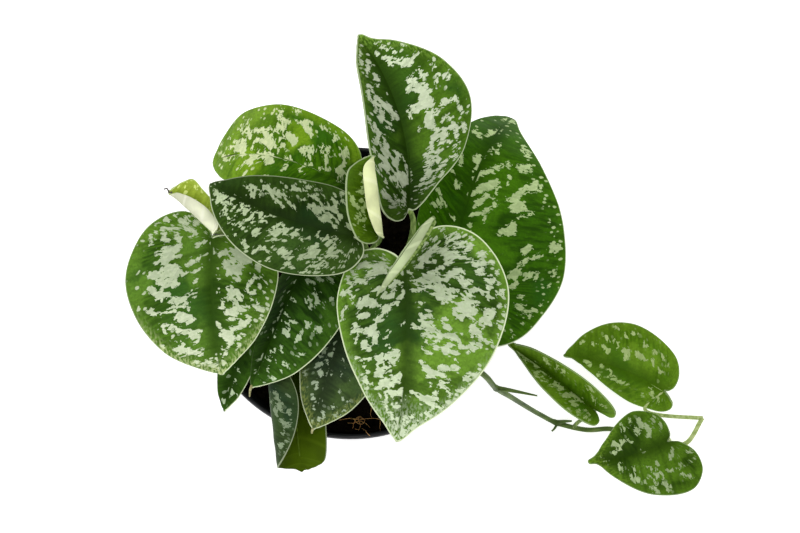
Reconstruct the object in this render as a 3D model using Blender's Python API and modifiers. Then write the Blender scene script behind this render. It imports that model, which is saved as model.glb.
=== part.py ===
"""Potted satin pothos: a nursery pot of soil with six short stems, a trailing vine and sixteen leaves.

The origin is at the middle of the pot's base, +Z up. Lengths in this file are metres, but the tables of
places are in millimetres and are scaled by MM where they are used. Angles are degrees.
"""
import math
from dataclasses import dataclass

import bmesh
import bpy
import numpy as np

MM = 0.001
GAP = 0.3 * MM

POT_HEIGHT = 115 * MM
RIM_RADIUS = 75 * MM
LIP_WIDTH = 2.2 * MM
LIP_DEPTH = 2.5 * MM
LIP_BEVEL = 0.6 * MM
COLLAR_RADIUS = 71.6 * MM
COLLAR_DEPTH = 15 * MM
SHOULDER_RADIUS = 70.6 * MM
BASE_RADIUS = 50 * MM
WALL = 1.2 * MM
FLOOR = 2.0 * MM
TURN_STEPS = 40
HOLE_COUNT = 8
HOLE_RADIUS = 4.5 * MM
HOLE_CIRCLE = 37 * MM

SOIL_TOP = 92 * MM
SOIL_LUMP = 1.6 * MM
SOIL_EDGE_RISE = 1.0 * MM
# the lumps die away over this stretch inside this radius
SOIL_LUMP_REACH = 68 * MM
SOIL_LUMP_FADE = 12 * MM

BLADE = 0.8 * MM
# where half a blade is narrower than this, in mm, it folds up less
FOLD_WIDTH = 4.0

# the rib under a blade: its radii in mm, its share of the blade's length, and how deep it hangs in radii
RIB_START = 0.95
RIB_END = 0.45
RIB_SHARE = 0.6
RIB_DEPTH = 0.6

# room in mm that a leaf and the soil leave round a stem, to its side and past its ends
SLEEVE_SIDE = 0.35
SLEEVE_END = 0.3

STEM_POINTS = 9
VINE_POINTS = 56
PETIOLE_POINTS = 9
RIB_POINTS = 5
SPUR_POINTS = 5

# points in mm from the foot to the top, and the radius at mid length in mm
STEMS = {
    "stem_front": ([(20, -10, 76), (21, -9, 110), (20, -7, 140), (21, -8, 162)], 2.2),
    "stem_centre": ([(8, -8, 76), (9, -6, 110), (10, -3, 150), (11, -1, 182)], 2.2),
    "stem_rear": ([(-4, 20, 76), (-2, 21, 105), (1, 22, 135)], 2.2),
    "stem_left": ([(-28, -2, 76), (-33, 0, 110), (-42, 6, 140), (-48, 11, 156)], 2.2),
    "stem_low_centre": ([(-2, -20, 76), (-1, -22, 105), (0, -23, 122)], 2.0),
    "stem_low_left": ([(-29, -26, 76), (-32, -29, 100), (-34, -31, 114)], 2.0),
}

VINE_RADIUS = 1.4
VINE = [
    (44, -8, 76), (45, -12, 98), (48, -22, 112), (54, -34, 117.2), (61.8, -41.4, 117.4), (66, -43.6, 112),
    (72, -43.5, 88), (81, -41.5, 60), (90, -40.2, 34), (99.6, -40.3, 13), (108.9, -42.6, 3.8), (125, -46, 2),
    (138, -45.5, 2), (153.5, -49.4, 2), (168.5, -54.4, 2.6), (178, -53.9, 5), (186.5, -41.7, 12)]
# spurs of dry sheath and root at the vine's nodes: points in mm, then the radii at both ends
VINE_SPURS = {
    "spur_upper": ([(72, -43.5, 88), (80, -45, 88.5), (92.5, -48, 90)], 1.5, 0.4),
    "spur_lower": ([(108.5, -42.4, 4), (113, -42.3, 6.5), (116.5, -42.5, 8)], 1.5, 0.5),
    "root_lower": ([(109, -43, 4), (107.5, -45.5, 3.4), (106, -47, 2.8)], 0.9, 0.5),
}


@dataclass
class Leaf:
    """A blade from base to tip, with its left and right halves as seen looking along it from above.

    half: half widths in mm. lift and side: how far the midrib bows up and to the right, in mm.
    fold: angle of each half to the blade's plane at the midrib, and curl: how far it turns on to its margin.
    lobe, shoulder: how far each half runs back past the base, and where it is widest, as shares of the
    length.
    blunt: how full each half is near the tip. wedge: how much it narrows to the base, from 0 to 1.
    drop: how far the tip droops, in mm.
    stem, share: what the petiole grows from, and where along it. leave, reach: the petiole's two bends, in
    mm from its foot and from the blade's base.
    """
    base: tuple
    tip: tuple
    half: tuple
    stem: str
    share: float
    leave: tuple
    reach: tuple
    lift: float = 3
    side: float = 0
    roll: float = 0
    fold: tuple = (5, 5)
    curl: tuple = (-10, -10)
    lobe: tuple = (0.2, 0.2)
    shoulder: tuple = (0.2, 0.2)
    blunt: tuple = (0, 0)
    wedge: tuple = (0, 0)
    drop: float = 0
    petiole: float = 1.3
    rows: int = 12
    columns: int = 4
    colour: tuple = (0.06, 0.16, 0.05)
    solver: str = "EXACT"


LEAVES = {
    "leaf_top": Leaf(
        (28, 14.5, 196), (4.5, 97.5, 206), (19.5, 34.5), "stem_front", 0.8, (3, 4, 14), (7, -4, -14),
        lift=4, side=7.7, fold=(34, 8), curl=(10, -25), lobe=(0.08, 0), shoulder=(0.31, 0.51),
        blunt=(0, -0.2), wedge=(0, 1), petiole=1.4),
    "leaf_right_rear": Leaf(
        (44.5, -15.5, 166), (81.5, 91.5, 138), (21, 57.5), "vine", 0.075, (5, 4, 22), (-1, -6, -16),
        lift=6, side=-4.5, fold=(-5, -5), curl=(-10, -25), lobe=(0.12, 0.19), shoulder=(0.35, 0.23),
        blunt=(0.15, -0.16), drop=16, petiole=1.4),
    "leaf_front": Leaf(
        (26, -15.5, 204), (22.5, -91.5, 184), (46, 32.5), "stem_front", 0.84, (1, -9, 14), (2, 5, -16),
        side=-3, fold=(8, 6), curl=(-20, -30), lobe=(0.2, 0.12), shoulder=(0.16, 0.18), blunt=(-0.14, -0.07),
        petiole=1.4),
    "leaf_young_left": Leaf(
        (15, -4, 214), (12, 31, 222), (15, 10), "stem_centre", 1, (0, 0, 10), (1, -2, -8),
        lift=1, fold=(14, 45), curl=(25, 165), lobe=(0.1, 0.05), shoulder=(0.3, 0.35), blunt=(0.2, 0.1),
        petiole=1.0, rows=10, columns=4, colour=(0.16, 0.25, 0.08)),
    "leaf_young_front": Leaf(
        (38, -0.5, 224), (13.5, -35, 226), (6, 8), "stem_front", 1, (3, 10, 16), (5, 12, -16),
        lift=1, side=-2, roll=-70, fold=(20, 20), curl=(120, 130), lobe=(0.05, 0.05), shoulder=(0.4, 0.4),
        petiole=1.1, rows=10, columns=3, colour=(0.35, 0.42, 0.18)),
    "leaf_left_centre": Leaf(
        (3.5, -3, 209), (-64.5, 28, 199), (24, 22.5), "stem_centre", 0.8, (-3, 6, 18), (6, 0, -14),
        lift=4, side=-5, fold=(0, 0), curl=(-20, -15), lobe=(0.09, 0.06), shoulder=(0.38, 0.21),
        blunt=(-0.08, -0.05), drop=5),
    "leaf_left_rear": Leaf(
        (6, 28, 178), (-72, 60.5, 138), (18, 29.5), "stem_rear", 1, (0, 0, 12), (10, -4, -12),
        lift=9, side=5, fold=(0, 0), curl=(-15, -15), lobe=(0.15, 0), shoulder=(0.4, 0.6), blunt=(0, 0.26),
        drop=5, colour=(0.10, 0.24, 0.04)),
    "leaf_left": Leaf(
        (-63.5, 7.5, 175), (-58, -56, 166), (31, 41), "stem_left", 0.8, (-9, 2, 5), (4, 6, -12),
        side=2, fold=(3, 5), curl=(-15, -15), lobe=(0.03, 0.2), shoulder=(0.25, 0.27), blunt=(-0.02, 0)),
    "leaf_young_far_left": Leaf(
        (-62.5, 7.5, 185), (-83, 25.5, 190), (8, 11.5), "stem_left", 1, (0, 0, 8), (4, 3, -10),
        lift=1, fold=(76, 0), curl=(130, 0), lobe=(0.05, 0.1), shoulder=(0.3, 0.5), blunt=(0, 0.42),
        petiole=1.1, rows=9, columns=4, colour=(0.35, 0.42, 0.18), solver="MANIFOLD"),
    "leaf_low_left": Leaf(
        (-20.5, -1, 164), (-46, -58, 148), (28, 12), "stem_left", 0.45, (6, 4, 14), (6, 8, -14),
        fold=(5, -35), curl=(-15, -10), lobe=(0.15, 0.15)),
    "leaf_low_far_left": Leaf(
        (-47, -24, 143), (-60.5, -64, 124), (9, 10), "stem_left", 0.28, (-6, -6, 12), (4, 9, -9),
        petiole=1.1, rows=9, columns=3),
    "leaf_low_centre": Leaf(
        (1, -15, 148), (-17.5, -75, 134), (26, 17), "stem_low_centre", 1, (0, 0, 8), (3, 6, -10),
        lobe=(0.06, 0.2)),
    "leaf_low_curled": Leaf(
        (-29, -40, 130), (-23.5, -90, 108), (35, 16), "stem_low_left", 1, (0, 0, 6), (-1, 6, -6),
        lift=4, roll=165, fold=(-5, -5), curl=(-215, -20), lobe=(0.1, 0.1), shoulder=(0.3, 0.5),
        blunt=(0.1, 0.3), columns=6, solver="MANIFOLD"),
    "leaf_vine_near": Leaf(
        (126.5, -41, 30), (81, -9, 44), (13, 17.5), "vine", 0.72, (0, 3, 8), (3, -1, -8),
        fold=(26, 74), curl=(0, 0), lobe=(0.1, 0.16), shoulder=(0.24, 0.23), blunt=(-0.2, 0.05),
        petiole=1.0, rows=10, columns=3),
    "leaf_vine_upper": Leaf(
        (164, -31, 30), (111.5, -10.5, 26), (18.5, 26), "vine", 1, (-34, -1, 6), (-16, -7, -9),
        side=2.5, fold=(-50, 5), curl=(-10, -10), lobe=(0.15, 0.09), shoulder=(0.22, 0.44),
        blunt=(-0.25, -0.06), petiole=1.0, rows=10, columns=3),
    "leaf_vine_lower": Leaf(
        (164, -59.5, 36), (122.5, -69, 30), (28.5, 21.5), "vine", 0.9, (1, 3, 10), (3, 1, -8),
        side=-2.5, lobe=(0.2, 0.09), shoulder=(0.02, 0.27), blunt=(-0.25, -0.2),
        petiole=1.0, rows=10, columns=3),
}


def material(name, colour, roughness):
    """A Principled material in one colour."""
    mat = bpy.data.materials.new(name)
    mat.use_nodes = True
    shader = mat.node_tree.nodes["Principled BSDF"]
    shader.inputs["Base Color"].default_value = (*colour, 1)
    shader.inputs["Roughness"].default_value = roughness
    shader.inputs["Metallic"].default_value = 0
    mat.diffuse_color = (*colour, 1)
    return mat


def mesh_object(name, mesh, collection, mat=None):
    obj = bpy.data.objects.new(name, mesh)
    collection.objects.link(obj)
    if mat is not None:
        mesh.materials.append(mat)
    return obj


def as_cutter(obj):
    obj.display_type = "WIRE"
    obj.hide_render = True
    return obj


def add_boolean(obj, other, operation, solver="EXACT"):
    mod = obj.modifiers.new(operation.title(), "BOOLEAN")
    mod.operation = operation
    mod.solver = solver
    mod.object = other


def smooth_curve(points, per_span=16):
    """Centripetal Catmull-Rom curve through the points, as an array."""
    given = np.array(points, float)
    path = np.vstack([2 * given[0] - given[1], given, 2 * given[-1] - given[-2]])
    found = []
    for i in range(1, len(path) - 2):
        a, b, c, d = path[i - 1:i + 3]
        t0 = 0.0
        t1 = t0 + np.linalg.norm(b - a) ** 0.5
        t2 = t1 + np.linalg.norm(c - b) ** 0.5
        t3 = t2 + np.linalg.norm(d - c) ** 0.5
        t = np.linspace(t1, t2, per_span, endpoint=False)[:, None]
        ab = (t1 - t) / (t1 - t0) * a + (t - t0) / (t1 - t0) * b
        bc = (t2 - t) / (t2 - t1) * b + (t - t1) / (t2 - t1) * c
        cd = (t3 - t) / (t3 - t2) * c + (t - t2) / (t3 - t2) * d
        abc = (t2 - t) / (t2 - t0) * ab + (t - t0) / (t2 - t0) * bc
        bcd = (t3 - t) / (t3 - t1) * bc + (t - t1) / (t3 - t1) * cd
        found.append((t2 - t) / (t2 - t1) * abc + (t - t1) / (t2 - t1) * bcd)
    found.append(path[-2][None])
    return np.vstack(found)


def along(path, shares):
    """Points at the given shares of a path's length."""
    steps = np.linalg.norm(np.diff(path, axis=0), axis=1)
    place = np.concatenate([[0], np.cumsum(steps)]) / steps.sum()
    return np.stack([np.interp(shares, place, path[:, axis]) for axis in range(path.shape[1])], -1)


def even_curve(points, count):
    return along(smooth_curve(points), np.linspace(0, 1, count))


def tube(name, points, radii, collection, mat=None, resolution=1):
    """A round bar along the points (mm) with a radius at each one (mm), as a welded mesh."""
    curve = bpy.data.curves.new(name, "CURVE")
    curve.dimensions = "3D"
    curve.bevel_depth = MM
    curve.bevel_resolution = resolution
    curve.use_fill_caps = True
    spline = curve.splines.new("POLY")
    spline.points.add(len(points) - 1)
    for point, place, radius in zip(spline.points, points, np.broadcast_to(radii, len(points))):
        point.co = (*(np.array(place, float) * MM), 1)
        point.radius = float(radius)
    guide = bpy.data.objects.new(name + "_guide", curve)
    collection.objects.link(guide)
    graph = bpy.context.evaluated_depsgraph_get()
    mesh = bpy.data.meshes.new_from_object(guide.evaluated_get(graph))
    bpy.data.objects.remove(guide)
    bm = bmesh.new()
    bm.from_mesh(mesh)
    bmesh.ops.remove_doubles(bm, verts=bm.verts, dist=0.001 * MM)
    bmesh.ops.recalc_face_normals(bm, faces=bm.faces)
    bm.to_mesh(mesh)
    bm.free()
    return mesh_object(name, mesh, collection, mat)


def outline(shares, lobe, shoulder, blunt, wedge):
    """Half a heart shape from base to tip: share of the half width and share of the length."""
    rest = 1 - shoulder
    slim = shoulder - 0.2
    corners = [(0, 0), (0.09, -0.55 * lobe), (0.38, 0.15 * slim - lobe + 0.08 * wedge),
               (0.78, 0.55 * slim - 0.45 * lobe + 0.12 * wedge), (1, shoulder),
               (0.91 + 0.3 * blunt, 1 - 0.65 * rest), (0.62 + blunt, 1 - 0.3 * rest),
               (0.27 + 0.8 * blunt, 1 - 0.106 * rest), (0.05 + 0.1 * max(blunt, 0), 1 - 0.019 * rest),
               (0, 1)]
    return along(smooth_curve(corners, 24), shares)


def half_blade(leaf, index):
    """Grid of one half: rows along the outline, columns along the lateral veins from midrib to margin."""
    shares = np.linspace(1 / (leaf.rows + 1), 1, leaf.rows + 1)
    edge = outline(shares, leaf.lobe[index], leaf.shoulder[index], leaf.blunt[index], leaf.wedge[index])
    low = np.clip(1 - 2 * edge[:, 1], 0, 1)
    start = (min(leaf.shoulder[index], 0.2) + 0.03) * (1 - leaf.wedge[index] * low)
    root = np.maximum.accumulate(np.clip((edge[:, 1] - start) / (1 - start), 0, 1))
    bend = np.stack([0.5 * edge[:, 0], root + 0.38 * (edge[:, 1] - root)], -1)
    root = np.stack([np.zeros(leaf.rows + 1), root], -1)
    v = np.linspace(0, 1, leaf.columns + 1)[None, :, None]
    return (1 - v) ** 2 * root[:, None] + 2 * v * (1 - v) * bend[:, None] + v ** 2 * edge[:, None]


def midrib(leaf, share):
    """Points, directions and two axes (right, up) of the midrib at shares of its length, in mm."""
    base, tip = np.array(leaf.base, float), np.array(leaf.tip, float)
    run = tip - base
    right = np.cross(run, (0, 0, 1))
    right /= np.linalg.norm(right)
    up = np.cross(right, run / np.linalg.norm(run))
    bow = base + run / 2 + up * leaf.lift * 2 + right * leaf.side * 2
    t = np.clip(share, 0, None)[..., None]
    back = np.clip(share, None, 0)[..., None]
    place = (1 - t) ** 2 * base + 2 * t * (1 - t) * bow + t ** 2 * tip + back * 2 * (bow - base)
    heading = 2 * (1 - t) * (bow - base) + 2 * t * (tip - bow)
    droop = np.clip((t - 0.6) / 0.4, 0, None)
    place = place - up * leaf.drop * droop ** 2
    heading = heading - up * leaf.drop * 2 * droop / 0.4
    return place, heading / np.linalg.norm(heading, axis=-1, keepdims=True), right, up


def blade_points(leaf, index, across, share):
    """Places in mm of points on one half, from their share of the half width and of the length."""
    place, heading, _, up = midrib(leaf, share)
    normal = up - heading * (heading @ up)[..., None]
    normal /= np.linalg.norm(normal, axis=-1, keepdims=True)
    sideways = np.cross(heading, normal)
    roll = math.radians(leaf.roll)
    out = sideways * math.cos(roll) + normal * math.sin(roll)
    top = normal * math.cos(roll) - sideways * math.sin(roll)
    reach = across * leaf.half[index]
    flatter = np.clip(reach[..., -1:] / FOLD_WIDTH, 0.2, 1)
    fold = math.radians(leaf.fold[index]) * flatter
    turn = math.radians(leaf.curl[index]) / leaf.half[index]
    if turn:
        flat = (np.sin(fold + turn * reach) - np.sin(fold)) / turn
        rise = (np.cos(fold) - np.cos(fold + turn * reach)) / turn
    else:
        flat = reach * np.cos(fold)
        rise = reach * np.sin(fold)
    sign = 1 if index else -1
    return place + out * (sign * flat)[..., None] + top * rise[..., None]


def petiole_path(leaf, stem_path):
    """Petiole from inside the stem to the middle of the blade's base, with its radii in mm."""
    foot = along(stem_path, np.array([leaf.share]))[0]
    heading = stem_path[-1] - stem_path[-2]
    heading /= np.linalg.norm(heading)
    if leaf.leave[:2] == (0, 0):
        first = foot + heading * leaf.leave[2]
    else:
        first = foot + np.array(leaf.leave, float)
    base = np.array(leaf.base, float)
    t = np.linspace(0, 1, PETIOLE_POINTS)[:, None]
    path = ((1 - t) ** 3 * foot + 3 * t * (1 - t) ** 2 * first
            + 3 * t ** 2 * (1 - t) * (base + np.array(leaf.reach, float)) + t ** 3 * base)
    return path, np.linspace(leaf.petiole * 1.15, leaf.petiole * 0.9, PETIOLE_POINTS)


def rib_path(leaf):
    """The rib under the blade, from behind the petiole's end towards the tip, with its radii in mm."""
    shares = np.linspace(0, RIB_SHARE, RIB_POINTS)
    radii = np.linspace(RIB_START, RIB_END, RIB_POINTS)
    up = np.array([normal_at(leaf, share) for share in shares])
    return midrib(leaf, shares)[0] - up * (radii * RIB_DEPTH)[:, None], radii


def normal_at(leaf, share):
    """The blade's upward normal on the midrib."""
    _, heading, _, up = midrib(leaf, np.array([share]))
    normal = up - heading[0] * (heading[0] @ up)
    normal /= np.linalg.norm(normal)
    sideways = np.cross(heading[0], normal)
    roll = math.radians(leaf.roll)
    return normal * math.cos(roll) - sideways * math.sin(roll)


def make_blade(name, leaf, collection, mat):
    """A grid, one column of vertices for each step across both halves, shaped by the leaf's formula."""
    rows, columns = leaf.rows, leaf.columns
    left = half_blade(leaf, 0)
    right = half_blade(leaf, 1)
    left = blade_points(leaf, 0, left[..., 0], left[..., 1])
    right = blade_points(leaf, 1, right[..., 0], right[..., 1])
    places = np.concatenate([left[:, ::-1], right[:, 1:]], axis=1) * MM
    bm = bmesh.new()
    bmesh.ops.create_grid(bm, x_segments=2 * columns, y_segments=rows, size=1)
    for vert in bm.verts:
        column = round((vert.co.x + 1) * columns)
        row = round((vert.co.y + 1) / 2 * rows)
        vert.co = places[row, column]
    bmesh.ops.remove_doubles(bm, verts=bm.verts, dist=0.01 * MM)
    bmesh.ops.triangulate(bm, faces=bm.faces, quad_method="FIXED")
    mesh = bpy.data.meshes.new(name)
    bm.to_mesh(mesh)
    bm.free()
    obj = mesh_object(name, mesh, collection, mat)
    solid = obj.modifiers.new("Thickness", "SOLIDIFY")
    solid.thickness = BLADE
    solid.offset = 0
    return obj


def make_leaf(name, leaf, stem_path, sleeve, parts, cutters):
    """Blade, petiole and rib as one solid, hollowed where the petiole clasps its stem."""
    blade = make_blade(name, leaf, parts, material(name + "_green", leaf.colour, 0.35))
    petiole = tube(name + "_petiole", *petiole_path(leaf, stem_path), cutters)
    rib = tube(name + "_rib", *rib_path(leaf), cutters)
    for stalk in (petiole, rib):
        add_boolean(blade, as_cutter(stalk), "UNION", leaf.solver)
    add_boolean(blade, sleeve, "DIFFERENCE", leaf.solver)


def make_stem(name, points, radius, count, parts, cutters, mat):
    """A tapered stem, its path in mm, and the sleeve of room round it that its neighbours leave."""
    path = even_curve(points, count)
    radii = np.linspace(radius * 1.1, radius * 0.9, count)
    stem = tube(name, path, radii, parts, mat)
    foot, top = path[0] - path[1], path[-1] - path[-2]
    longer = path.copy()
    longer[0] += foot / np.linalg.norm(foot) * SLEEVE_END
    longer[-1] += top / np.linalg.norm(top) * SLEEVE_END
    return stem, path, as_cutter(tube(name + "_sleeve", longer, radii + SLEEVE_SIDE, cutters))


def turned(name, profile, collection, mat):
    """A profile in the XZ plane, listed top to bottom on the outside, turned round Z."""
    bm = bmesh.new()
    verts = [bm.verts.new((radius, 0, height)) for radius, height in profile]
    for first, second in zip(verts, verts[1:]):
        bm.edges.new((first, second))
    mesh = bpy.data.meshes.new(name)
    bm.to_mesh(mesh)
    bm.free()
    obj = mesh_object(name, mesh, collection, mat)
    screw = obj.modifiers.new("Turn", "SCREW")
    screw.steps = TURN_STEPS
    screw.render_steps = TURN_STEPS
    screw.use_merge_vertices = True
    screw.merge_threshold = 0.01 * MM
    return obj


def outer_radius(height):
    """The pot's outer wall under the collar."""
    share = height / (POT_HEIGHT - COLLAR_DEPTH)
    return BASE_RADIUS + (SHOULDER_RADIUS - BASE_RADIUS) * share


def make_pot(parts, cutters):
    shoulder = POT_HEIGHT - COLLAR_DEPTH
    profile = [
        (0, FLOOR), (outer_radius(FLOOR) - WALL, FLOOR), (SHOULDER_RADIUS - WALL, shoulder),
        (COLLAR_RADIUS - WALL, shoulder + WALL), (RIM_RADIUS - LIP_WIDTH, POT_HEIGHT - LIP_BEVEL),
        (RIM_RADIUS - LIP_WIDTH + LIP_BEVEL, POT_HEIGHT), (RIM_RADIUS - LIP_BEVEL, POT_HEIGHT),
        (RIM_RADIUS, POT_HEIGHT - LIP_BEVEL), (RIM_RADIUS, POT_HEIGHT - LIP_DEPTH),
        (RIM_RADIUS - WALL, POT_HEIGHT - LIP_DEPTH - LIP_BEVEL), (COLLAR_RADIUS, shoulder),
        (SHOULDER_RADIUS, shoulder - WALL), (outer_radius(FLOOR), FLOOR), (BASE_RADIUS - WALL, 0), (0, 0)]
    pot = turned("pot", profile, parts, material("black_plastic", (0.012, 0.013, 0.017), 0.45))
    for i in range(HOLE_COUNT):
        angle = 2 * math.pi * (i + 0.5) / HOLE_COUNT
        bpy.ops.mesh.primitive_cylinder_add(
            vertices=12, radius=HOLE_RADIUS, depth=4 * FLOOR,
            location=(HOLE_CIRCLE * math.cos(angle), HOLE_CIRCLE * math.sin(angle), FLOOR / 2))
        hole = bpy.context.object
        hole.name = f"drain_hole_{i}"
        as_cutter(hole)
        move_to(hole, cutters)
        add_boolean(pot, hole, "DIFFERENCE")
    return pot


def move_to(obj, collection):
    for owner in obj.users_collection:
        owner.objects.unlink(obj)
    collection.objects.link(obj)


def soil_height(x, y):
    """Lumps on the soil's top, a sum of waves, fading out at the wall."""
    radius = math.hypot(x, y)
    fade = min(1, max(0, (SOIL_LUMP_REACH - radius) / SOIL_LUMP_FADE))
    waves = (math.sin(x / (9 * MM) + 1.1) * math.cos(y / (11 * MM)) + 0.6 * math.sin((x + 2 * y) / (13 * MM))
             + 0.5 * math.cos((2 * x - y) / (10 * MM) + 0.4))
    return SOIL_TOP + SOIL_EDGE_RISE * (1 - fade) + SOIL_LUMP * fade * waves


def make_soil(parts):
    """Soil to the pot's inner wall, its top in rings that are lifted into lumps."""
    def wall(height):
        return outer_radius(height) - WALL - 1.3 * GAP

    rings = [share * wall(SOIL_TOP) for share in (0.14, 0.3, 0.46, 0.62, 0.78, 0.9)]
    profile = [(0, SOIL_TOP)] + [(ring, SOIL_TOP) for ring in rings] + [
        (wall(SOIL_TOP), SOIL_TOP + SOIL_EDGE_RISE), (wall(FLOOR + GAP), FLOOR + GAP), (0, FLOOR + GAP)]
    soil = turned("soil", profile, parts, material("peat_soil", (0.02, 0.014, 0.01), 0.95))
    graph = bpy.context.evaluated_depsgraph_get()
    mesh = bpy.data.meshes.new_from_object(soil.evaluated_get(graph))
    soil.modifiers.clear()
    soil.data = mesh
    for vert in mesh.vertices:
        if vert.co.z > SOIL_TOP - GAP:
            vert.co.z = soil_height(vert.co.x, vert.co.y)
    return soil


def clear_scene():
    for obj in list(bpy.data.objects):
        bpy.data.objects.remove(obj)


def build():
    clear_scene()
    parts = bpy.data.collections.new("potted_satin_pothos")
    cutters = bpy.data.collections.new("cutters")
    bpy.context.scene.collection.children.link(parts)
    bpy.context.scene.collection.children.link(cutters)

    make_pot(parts, cutters)
    soil = make_soil(parts)
    stem_colour = material("stem_green", (0.10, 0.17, 0.06), 0.5)
    paths = {}
    sleeves = {}
    for name, (points, radius) in STEMS.items():
        _, paths[name], sleeves[name] = make_stem(
            name, points, radius, STEM_POINTS, parts, cutters, stem_colour)
    vine, paths["vine"], sleeves["vine"] = make_stem(
        "vine", VINE, VINE_RADIUS, VINE_POINTS, parts, cutters, stem_colour)
    for name, (points, thick, thin) in VINE_SPURS.items():
        radii = np.linspace(thick, thin, SPUR_POINTS)
        add_boolean(vine, as_cutter(tube(name, even_curve(points, SPUR_POINTS), radii, cutters)), "UNION")
    for sleeve in sleeves.values():
        add_boolean(soil, sleeve, "DIFFERENCE")
    for name, leaf in LEAVES.items():
        make_leaf(name, leaf, paths[leaf.stem], sleeves[leaf.stem], parts, cutters)

    for obj in parts.objects:
        obj.data.shade_smooth()
    return parts


build()
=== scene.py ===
import math
import random
from dataclasses import dataclass

import bpy
import numpy as np
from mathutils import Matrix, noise


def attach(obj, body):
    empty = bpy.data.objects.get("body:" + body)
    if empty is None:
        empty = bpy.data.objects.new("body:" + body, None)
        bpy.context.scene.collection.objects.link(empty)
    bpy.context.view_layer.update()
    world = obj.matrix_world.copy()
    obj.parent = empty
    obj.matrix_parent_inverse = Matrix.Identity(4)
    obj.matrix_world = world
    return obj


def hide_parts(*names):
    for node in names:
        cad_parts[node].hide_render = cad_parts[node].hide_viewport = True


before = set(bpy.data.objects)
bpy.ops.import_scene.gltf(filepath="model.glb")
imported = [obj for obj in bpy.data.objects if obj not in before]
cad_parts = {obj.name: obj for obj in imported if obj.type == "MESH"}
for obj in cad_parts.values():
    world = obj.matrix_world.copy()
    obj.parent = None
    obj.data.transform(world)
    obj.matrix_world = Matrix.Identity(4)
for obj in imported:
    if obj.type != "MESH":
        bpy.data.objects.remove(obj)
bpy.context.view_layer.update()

MM = 0.001

# The view: the photograph looks down on the plant from about 1.1 metres away, tipped 17 degrees towards the
# front of the pot. Nothing here is part of the object.
VIEW_TILT = math.radians(17)
CAMERA_PLACE = np.array([24, -282, 1076]) * MM
LENS_PIXELS = 2027
PHOTO_SIZE = (800, 533)
SENSOR = 36

bpy.ops.object.select_all(action="DESELECT")
bpy.ops.object.camera_add(location=CAMERA_PLACE, rotation=(VIEW_TILT, 0, 0))
camera = bpy.context.object
camera.name = "camera_above"
camera.data.sensor_width = SENSOR
camera.data.lens = LENS_PIXELS * SENSOR / PHOTO_SIZE[0]
bpy.context.scene.camera = camera

# The nursery pot: thin black polypropylene, blown into a mould, with a rolled lip, a stepped collar that the
# next pot stacks on, a foot ring and drain holes in the floor.
POT_HEIGHT = 115 * MM
RIM_RADIUS = 75 * MM
COLLAR_RADIUS = 71.6 * MM
COLLAR_DEPTH = 15 * MM
SHOULDER_RADIUS = 70.6 * MM
BASE_RADIUS = 50 * MM
WALL = 1.2 * MM
FLOOR = 2.0 * MM
LIP_WIDTH = 2.2 * MM
LIP_DEPTH = 2.5 * MM
ROUND_STEPS = 144
DRAIN_HOLES = 8
DRAIN_RADIUS = 4.5 * MM
DRAIN_CIRCLE = 37 * MM
SHARP_ANGLE = 40


def paint(red, green, blue):
    """A colour as the eye reads it, 0 to 255, for a shader."""
    shares = [value / 255 for value in (red, green, blue)]
    return tuple(s / 12.92 if s <= 0.04045 else ((s + 0.055) / 1.055) ** 2.4 for s in shares) + (1,)


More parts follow.
